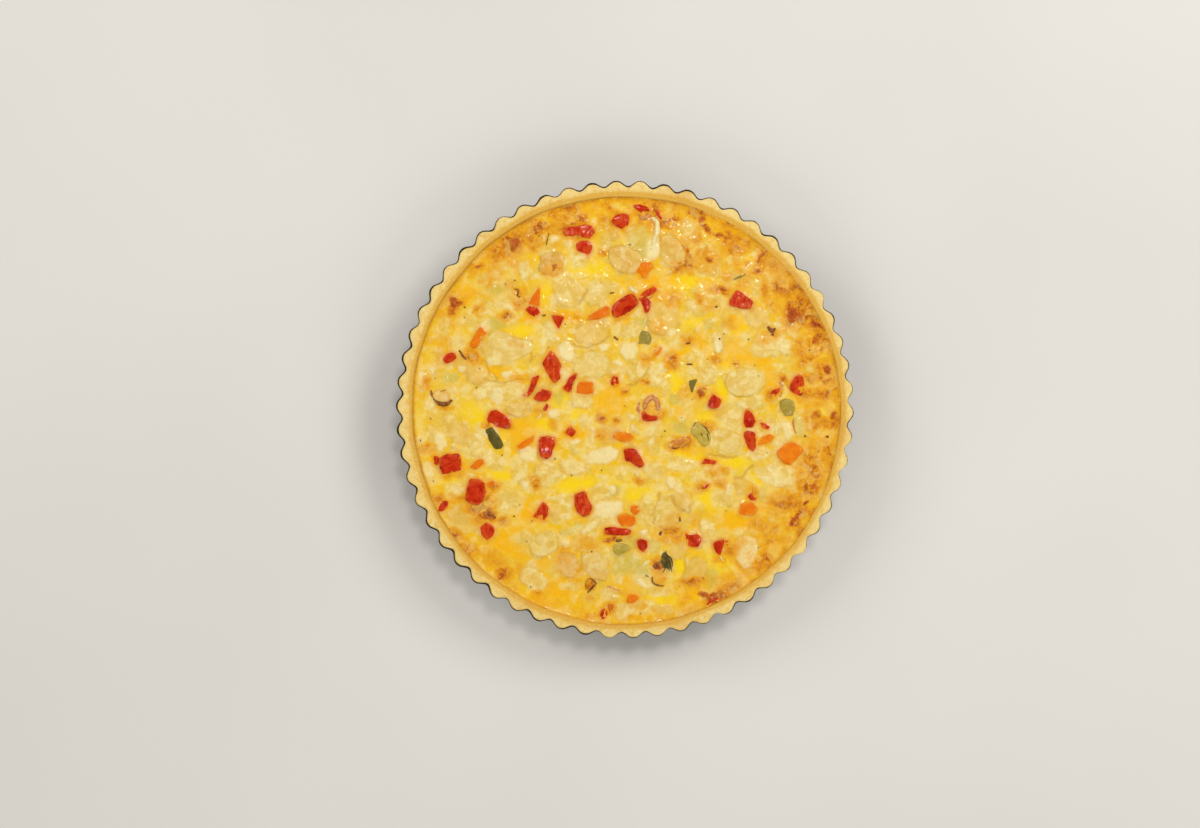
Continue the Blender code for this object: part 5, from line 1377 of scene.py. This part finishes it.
class EggTop:
    """Points in the filling's top while it is shaped: how high, and how much of each look they have."""

    def __init__(self, x, y):
        self.x, self.y = x, y
        self.z = rest_height(x, y)
        self.looks = {look: np.zeros(len(x)) for look in LOOKS}
        self.u = x + 1.3 * MM * wander(x, y, 8 * MM, 21) + 0.8 * MM * wander(x, y, 3 * MM, 22)
        self.v = y + 1.3 * MM * wander(x, y, 8 * MM, 23) + 0.8 * MM * wander(x, y, 3 * MM, 24)
        self.lumps = np.zeros(len(x))
        self.near_u = x + 0.7 * MM * wander(x, y, 3.5 * MM, 25) + 0.4 * MM * wander(x, y, 1.7 * MM, 26)
        self.near_v = y + 0.7 * MM * wander(x, y, 3.5 * MM, 27) + 0.4 * MM * wander(x, y, 1.7 * MM, 28)

    def near(self, x, y, reach):
        """The points within reach of a place, all in metres."""
        return np.nonzero((np.abs(self.x - x) < reach) & (np.abs(self.y - y) < reach))[0]

    def depth_in(self, row, spots):
        """Metres inside the outline of a patch, negative outside, with the outline a little crumpled."""
        x, y, length, width, turn = row[:5]
        c, s = math.cos(math.radians(turn)), math.sin(math.radians(turn))
        u, v = self.u[spots] - x * MM, self.v[spots] - y * MM
        along = np.abs(u * c + v * s) / (length * MM / 2)
        across = np.abs(v * c - u * s) / (width * MM / 2)
        far = (along**2.4 + across**2.4) ** (1 / 2.4)
        return (1 - far) * min(length, width) * MM / 2

    def lay(self, look, rows, soft, rise=0.0, strength=1.0):
        """Lays patches of one look. Their edges fade over a share of their half width."""
        for number, row in enumerate(rows):
            half = min(row[2], row[3]) * MM / 2
            reach = max(row[2], row[3]) * 0.75 * MM * (1 + soft) + 3 * MM
            spots = self.near(row[0] * MM, row[1] * MM, reach)
            inside = self.depth_in(row, spots)
            amount = ease(-soft * half, soft * half, inside) * strength * (row[5] if len(row) > 5 else 1)
            self.looks[look][spots] = np.maximum(self.looks[look][spots], amount)
            if rise:
                uneven = 0.7 + 0.5 * (number * 7 % 10) / 10
                self.z[spots] += rise * ease(-0.5 * half, 0.8 * half, inside) * uneven

    def lay_lump(self, kind, edge, points, seed, raised):
        """Lays one lump that shows through the skin: its tint and slope, and a broken line and soft band of
        painted shade round it.
        """
        outline = smooth_outline(points, 0.12)
        middle = outline.mean(0)
        spots = self.near(*middle, np.abs(outline - middle).max() + 3 * MM)
        x, y = self.near_u[spots], self.near_v[spots]
        depth = depth_inside(outline, x, y)
        amount = ease(-0.5 * MM, 0.9 * MM, depth)
        chance = random.Random(seed)
        slope = math.radians(chance.uniform(0, 360))
        along = (x - middle[0]) * math.cos(slope) + (y - middle[1]) * math.sin(slope)
        along /= breadth(points) * MM / 2
        fade = np.clip(0.5 + 0.4 * along, 0, 1)
        self.lumps[spots] = np.maximum(self.lumps[spots], amount)
        kept = 1 - 0.85 * amount
        for look in ("lemon", "amber", "cream", "white", "tan", "green", "outline"):
            self.looks[look][spots] *= kept
        tan, white = 0.35 * chance.random() * fade, 0.3 * chance.random() * (1 - fade)
        looks = {"cream": 0.95, "tan": tan, "white": white}
        if kind == "white":
            looks = {"cream": 0.7, "white": 0.6 + 0.3 * fade}
        elif kind == "tan":
            looks = {"cream": 0.5, "tan": 0.55 + 0.4 * fade}
        elif kind == "green":
            looks = {"cream": 0.5, "green": 0.4 + 0.4 * fade}
        elif kind == "toasted":
            looks = {"cream": 0.4, "tan": 0.8, "toast": 0.1 + 0.5 * fade}
        for look, strength in looks.items():
            self.looks[look][spots] += amount * strength
        # Painted shade: a broken dark line just outside the lump and a soft darkening round it.
        gate = ease(-0.5, 0.4, wander(self.x[spots], self.y[spots], 6 * MM, 31 + seed))
        line = np.exp(-(((depth + 0.3 * MM) / (0.55 * MM)) ** 2)) * gate
        shade = np.exp(-(((depth + 0.5 * MM) / (1.5 * MM)) ** 2)) * 0.2
        shade = edge * np.maximum(line * 0.75, shade)
        self.looks["outline"][spots] = np.maximum(self.looks["outline"][spots], shade)
        if raised:
            rise = (0.35 + 0.25 * chance.random()) * MM + 0.2 * MM * along
            self.z[spots] += rise * ease(-0.6 * MM, 1.1 * MM, depth) - 0.22 * MM * line * edge

    def crease(self, points):
        """Presses a thin groove into the skin along some points, with painted shade along it."""
        for (ax, ay), (bx, by) in zip(points, points[1:]):
            run_x, run_y = (bx - ax) * MM, (by - ay) * MM
            spots = self.near((ax + bx) / 2 * MM, (ay + by) / 2 * MM, math.hypot(run_x, run_y) / 2 + 6 * MM)
            u, v = self.u[spots] - ax * MM, self.v[spots] - ay * MM
            share = np.clip((u * run_x + v * run_y) / (run_x**2 + run_y**2), 0, 1)
            # Painted shade along the crease.
            line = np.exp(-((np.hypot(u - share * run_x, v - share * run_y) / CREASE_WIDTH) ** 2))
            new = np.maximum(self.looks["outline"][spots], line * 0.9)
            self.z[spots] -= CREASE_DEPTH * (new - self.looks["outline"][spots])
            self.looks["outline"][spots] = new


def make_egg(toppings):
    """A closed block of baked egg with a fine uneven top, shaped round the pieces that stand in it."""
    bpy.ops.mesh.primitive_circle_add(vertices=6, radius=1, fill_type="TRIFAN")
    egg = new_piece("baked_egg")
    bpy.ops.object.mode_set(mode="EDIT")
    bpy.ops.mesh.select_all(action="SELECT")
    bpy.ops.mesh.subdivide(number_cuts=EGG_CUTS)
    bpy.ops.mesh.subdivide(number_cuts=EGG_CUTS)
    bpy.ops.object.mode_set(mode="OBJECT")
    far, angle = polar(points_of(egg))
    corner = math.pi / 6
    wedge = np.round(angle / (2 * corner)) * 2 * corner
    ring = far * np.cos(angle - wedge) / math.cos(corner)
    angle = wedge + corner * np.tan(angle - wedge) / math.tan(corner)
    edge_radius = case_radius(angle, CRUST_TOP - EGG_EDGE_DROP) + 0.1 * MM
    radius = ring * edge_radius
    top = EggTop(radius * np.cos(angle), radius * np.sin(angle))
    shape_egg(top, radius, angle, edge_radius - radius)
    for piece, manner in toppings:
        sink_round(top, piece, **manner)
    bumps = pebbles(top.u, top.v, 1.9 * MM, 51)[0]
    coarse = 0.02 + 0.13 * ease(92 * MM, 106 * MM, radius) * (0.6 + 0.5 * wander(top.x, top.y, 15 * MM, 52))
    top.z += (bumps - 0.4) * coarse * MM
    top.z += 0.06 * MM * wander(top.x, top.y, 1.6 * MM, 53)
    move_points(egg, np.stack((top.x, top.y, top.z), 1))
    for look, amount in top.looks.items():
        paint(egg, look, np.clip(amount, 0, 1.2))
    only(egg)
    bpy.ops.object.mode_set(mode="EDIT")
    bpy.ops.mesh.select_mode(type="EDGE")
    bpy.ops.mesh.select_all(action="DESELECT")
    bpy.ops.mesh.select_non_manifold(extend=False)
    bpy.ops.mesh.extrude_edges_move(TRANSFORM_OT_translate={"value": (0, 0, -6 * MM)})
    bpy.ops.transform.resize(value=(0.985, 0.985, 1), center_override=(0, 0, 0))
    bpy.ops.mesh.extrude_edges_move(TRANSFORM_OT_translate={"value": (0, 0, -14 * MM)})
    bpy.ops.transform.resize(value=(0.978, 0.978, 0), center_override=(0, 0, EGG_FLOOR))
    bpy.ops.mesh.edge_face_add()
    bpy.ops.object.mode_set(mode="OBJECT")
    face_outwards(egg)
    bpy.ops.object.shade_smooth()
    egg.data.materials.append(egg_finish())
    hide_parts("filling")
    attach(egg, "root")


def brown_egg(top, radius, angle):
    """Browns the rim unevenly, and the patches and spots that caught the heat."""
    rim = ease(88 * MM, 108 * MM, radius)
    round_rim = 0.44 + 0.27 * np.cos(angle - RIM_SIDE) + 0.08 * np.cos(2 * (angle - math.radians(110)))
    round_rim += 0.1 * ease(0.4, 0.9, np.cos(angle - math.radians(92)))  # a little more at the far side
    round_rim -= 0.25 * ease(0.75, 1, np.cos(angle - math.radians(-78)))  # and less at the near side
    patchy = 0.62 + 0.95 * wander(top.x, top.y, 13 * MM, 64) + 0.7 * wander(top.x, top.y, 5 * MM, 65)
    rim_toast = np.clip(rim * round_rim * patchy, 0, 0.8) * (1 - 0.6 * top.lumps)
    top.looks["toast"] = np.maximum(top.looks["toast"], rim_toast)
    top.lay("toast", TOASTED, 0.9, strength=1.1)
    top.lay("burnt", BURNT, 0.7)


def shape_egg(top, radius, angle, from_edge):
    """Lays the lumps, pools, browning and creases of the top."""
    x, y = top.x, top.y
    top.lay("lemon", LEMON, 0.7, rise=-0.12 * MM)
    top.lay("amber", AMBER, 0.7, rise=-0.12 * MM, strength=0.85)
    pool = np.maximum(top.looks["lemon"], top.looks["amber"])
    middle = ease(110 * MM, 94 * MM, radius) * (1 - 0.85 * pool)
    lumps, numbers = pebbles(top.u, top.v, 7 * MM, 61)
    top.z += 0.3 * MM * (lumps - 0.3) * (0.3 + 0.7 * middle)
    top.looks["cream"] = ease(0.1, 0.6, lumps) * ease(0.25, 0.65, numbers) * 0.75 * middle
    top.looks["tan"] = ease(0.2, 0.7, lumps) * ease(0.25, 0.05, numbers) * 0.35 * middle
    bits, marks = pebbles(top.u + 1 * MM, top.v, 3.4 * MM, 62)
    top.z += 0.07 * MM * bits * middle
    top.looks["white"] = ease(0.3, 0.8, bits) * ease(0.84, 0.95, marks) * 0.4 * middle
    top.looks["green"] = ease(0.3, 0.8, bits) * ease(0.1, 0.03, marks) * 0.5 * middle
    # Painted shade in the hollows between the lumps.
    shade_between_lumps = np.exp(-((lumps / 0.12) ** 2)) * ease(-0.2, 0.4, wander(x, y, 12 * MM, 63))
    top.looks["outline"] = shade_between_lumps * 0.15 * middle
    top.lay("cream", CREAM, 0.5, rise=0.12 * MM)
    top.lay("green", GREENISH, 0.5)
    for name in ("lemon", "amber"):
        top.looks[name] *= 1 - 0.6 * top.looks["cream"]
    for seed, (kind, edge, points) in enumerate(LUMPS):
        top.lay_lump(kind, edge, points, seed, seed >= len(CLEAR_LUMPS))
    for points in CREASES:
        top.crease(points)
    brown_egg(top, radius, angle)
    # A browned band at the filling's edge, widened on one side with painted shade.
    shaded_edge_side = ease(-0.1, 0.8, np.cos(angle - SHADED_EDGE_SIDE))
    browned_and_shaded_edge = np.exp(-((from_edge / ((1.1 + 2.2 * shaded_edge_side) * MM)) ** 2))
    top.looks["toast"] = np.maximum(top.looks["toast"], 0.55 * browned_and_shaded_edge)
    for name in ("cream", "white", "tan"):
        top.looks[name] *= 1 - 0.4 * np.clip(top.looks["toast"], 0, 1)
    top.z += 1.0 * MM * np.exp(-from_edge / (1.3 * MM)) * (1 + 0.4 * wander(x, y, 10 * MM, 66))
    puffed = ease(-0.2, 0.8, np.cos(angle - PUFFED_SIDE))
    top.z += 0.9 * MM * puffed * np.exp(-((from_edge / (4 * MM)) ** 2))


def sink_round(top, piece, climb, reach, cover, seed, stain=0.0, outline=0.0):
    """Makes the egg climb round pieces, creep over their edges and take on their colour. In millimetres."""
    climb, reach, cover = climb * MM, reach * MM, cover * MM
    corners, faces = [v.co for v in piece.data.vertices], [p.vertices[:] for p in piece.data.polygons]
    tree = BVHTree.FromPolygons(corners, faces)
    down = Vector((0, 0, -1))
    creep = wander(top.x, top.y, 5 * MM, seed) + 0.5 * wander(top.x, top.y, 2.2 * MM, seed + 9)
    for i in range(len(top.x)):
        spot = Vector((top.x[i], top.y[i], top.z[i]))
        hit = tree.ray_cast(Vector((spot.x, spot.y, 50 * MM)), down)[0]
        if hit is not None:
            over = min(1.0, 0.5 + 1.2 * creep[i])
            top.z[i] = max(top.z[i], min(top.z[i] + climb, hit.z + cover * over - 0.1 * MM))
            far = 0.0
        else:
            near, _, _, far = tree.find_nearest(spot, reach * 3)
            if near is None:
                continue
            top.z[i] += climb * math.exp(-((far / reach) ** 2)) * (0.8 + 0.5 * creep[i])
        if stain:
            top.looks["stain"][i] = max(top.looks["stain"][i], math.exp(-far / (1.1 * MM)) * stain)
        # A thin line of painted shade in the egg round the piece.
        if outline and hit is None:
            line = math.exp(-((far / (0.7 * MM)) ** 2)) * min(1.0, max(0.0, 0.4 + 1.6 * creep[i])) * outline
            top.looks["outline"][i] = max(top.looks["outline"][i], line)


# ---------------------------------------------------------------- small scattered things


def strand(points, thickness, lift, seed):
    """A soft strand lying in the top of the filling, flattened and tapered at its ends."""
    shape = bpy.data.curves.new("strand", "CURVE")
    shape.dimensions = "3D"
    shape.resolution_u = 5
    shape.bevel_depth = thickness * MM / 2
    shape.bevel_resolution = 3
    shape.use_fill_caps = True
    run = shape.splines.new("BEZIER")
    run.bezier_points.add(len(points) - 1)
    chance = random.Random(seed)
    for place, (x, y) in zip(run.bezier_points, points):
        z = height_at(x, y) + lift * MM
        place.co = (x * MM, y * MM, z)
        place.handle_left_type = "AUTO"
        place.handle_right_type = "AUTO"
        place.radius = chance.uniform(0.75, 1.1)
    run.bezier_points[0].radius = 0.45
    run.bezier_points[-1].radius = 0.45
    made = bpy.data.objects.new("strand", shape)
    bpy.context.collection.objects.link(made)
    only(made)
    bpy.ops.object.convert(target="MESH")
    made = bpy.context.object
    bpy.ops.object.mode_set(mode="EDIT")
    bpy.ops.mesh.select_all(action="SELECT")
    bpy.ops.mesh.remove_doubles(threshold=0.005 * MM)
    bpy.ops.object.mode_set(mode="OBJECT")
    rough = points_of(made)
    move_points(made, rough + crumple(rough, 1.4 * MM, (seed, 0, 0)) * 0.16 * thickness * MM)
    return made


def fleck(x, y, size, seed):
    """A scrap of herb or char, a few faces only."""
    z = height_at(x, y) + 0.55 * MM
    chance = random.Random(seed)
    radius, place, turned = size * MM / 2, (x * MM, y * MM, z), (0, 0, chance.uniform(0, 6))
    bpy.ops.mesh.primitive_ico_sphere_add(subdivisions=2, radius=radius, location=place, rotation=turned)
    made = bpy.context.object
    made.scale = (1, chance.uniform(0.4, 0.9), 0.5)
    settle(made)
    points = points_of(made)
    move_points(made, points + crumple(points, 0.9 * MM) * 0.2 * size * MM)
    return made


def make_scraps():
    """Shreds, curls, chips, burnt edges, herbs and specks, all in the filling's top."""
    shreds = [strand(points, thick, -0.05, 200 + n) for n, (points, thick) in enumerate(CHEESE_SHREDS)]
    cheese = plain_finish("melted_cheese", (248, 232, 176), (242, 214, 138), 2 * MM, 0.4, 0.1, 0.2)
    dress(shreds, "cheese_shreds", cheese)
    curls = [strand(points, thick * 1.3, -0.1, 230 + n) for n, (points, thick) in enumerate(ONION_CURLS)]
    onion = plain_finish("browned_onion", (226, 162, 96), (196, 116, 60), 2 * MM, 0.4, 0.1, 0.12)
    dress(curls, "onion_curls", onion)
    blocks = [cut_block(row, 1.6, 0.45) for row in CHIPS]
    chips = [soften(block, 0.25 * MM, 260 + n, 0, 0.3 * MM, 4, 5) for n, block in enumerate(blocks)]
    chips += [strand(points, thick, 0.5, 280 + n) for n, (points, thick) in enumerate(BURNT_EDGES)]
    char = plain_finish("charred_edges", (158, 92, 34), (96, 46, 16), 1.4 * MM, 0.5)
    dress(chips, "charred_chips", char)
    chance = random.Random(7)
    spots = [fleck(x, y, chance.uniform(0.7, 1.3), n) for n, (x, y) in enumerate(FLECKS)]
    for n in range(SPECKS):
        spots.append(fleck(*anywhere(chance, SPECKS_REACH), chance.uniform(0.4, 0.8), 50 + n))
    leaves = [strand(points, 0.8, 1.3, 300 + n) for n, points in enumerate(HERB_TUFT)]
    leaves += [strand(points, 0.7, 0.9, 320 + n) for n, points in enumerate(LEEK_RIBS)]
    herb = plain_finish("dried_herbs", (104, 84, 34), (62, 50, 22), 1.2 * MM, 0.6)
    dress(spots + leaves, "herbs", herb)


# ---------------------------------------------------------------- floor, light and camera


def make_floor():
    bpy.ops.mesh.primitive_plane_add(size=6, location=(0, 0, 0))
    floor = new_piece("floor")
    plain = Finish("pale_floor", roughness=0.7)
    tone = plain.mix((226, 221, 213), (231, 227, 219), plain.noise(300 * MM, 2).between(0.3, 0.7))
    plain.set("Base Color", tone)
    floor.data.materials.append(plain.material)


def area_light(name, place, size, power):
    bpy.ops.object.light_add(type="AREA", location=place)
    lamp = bpy.context.object
    lamp.name = name
    lamp.data.shape = "RECTANGLE"
    lamp.data.size, lamp.data.size_y = size
    lamp.data.energy = power
    lamp.rotation_euler = (Vector(LAMP_TARGET) - Vector(place)).to_track_quat("-Z", "Y").to_euler()


def make_studio():
    world = bpy.data.worlds.new("soft_room")
    bpy.context.scene.world = world
    world.use_nodes = True
    room = world.node_tree.nodes["Background"].inputs
    room["Color"].default_value = ROOM_COLOUR
    room["Strength"].default_value = ROOM_STRENGTH
    for lamp in LAMPS:
        area_light(*lamp)
    bpy.ops.object.camera_add(location=CAMERA_PLACE, rotation=(0, 0, 0))
    camera = bpy.context.object
    camera.data.lens = CAMERA_LENS
    camera.data.sensor_width = CAMERA_SENSOR
    camera.data.clip_start = 0.01
    bpy.context.scene.camera = camera
    bpy.context.scene.view_settings.view_transform = "Standard"


def main():
    noise.seed_set(NOISE_SEED)
    make_floor()
    make_studio()
    make_tin()
    make_crust()
    meat = lump_finish()
    # outline sets the strength of the painted shade line round each kind of piece.
    make_egg(
        (
            (make_chicken(meat), dict(climb=0.3, reach=1.0, cover=0.55, seed=45, outline=0.35)),
            (make_crumbs(meat), dict(climb=0.2, reach=0.7, cover=0.4, seed=47, outline=0.3)),
            (make_peppers(), dict(climb=0.6, reach=1.2, cover=0.24, seed=41, stain=0.75)),
            (make_carrots(), dict(climb=0.5, reach=1.2, cover=0.16, seed=42, stain=0.45)),
            (make_greens(), dict(climb=0.5, reach=1.2, cover=0.1, seed=43, outline=0.2)),
        )
    )
    make_scraps()


main()
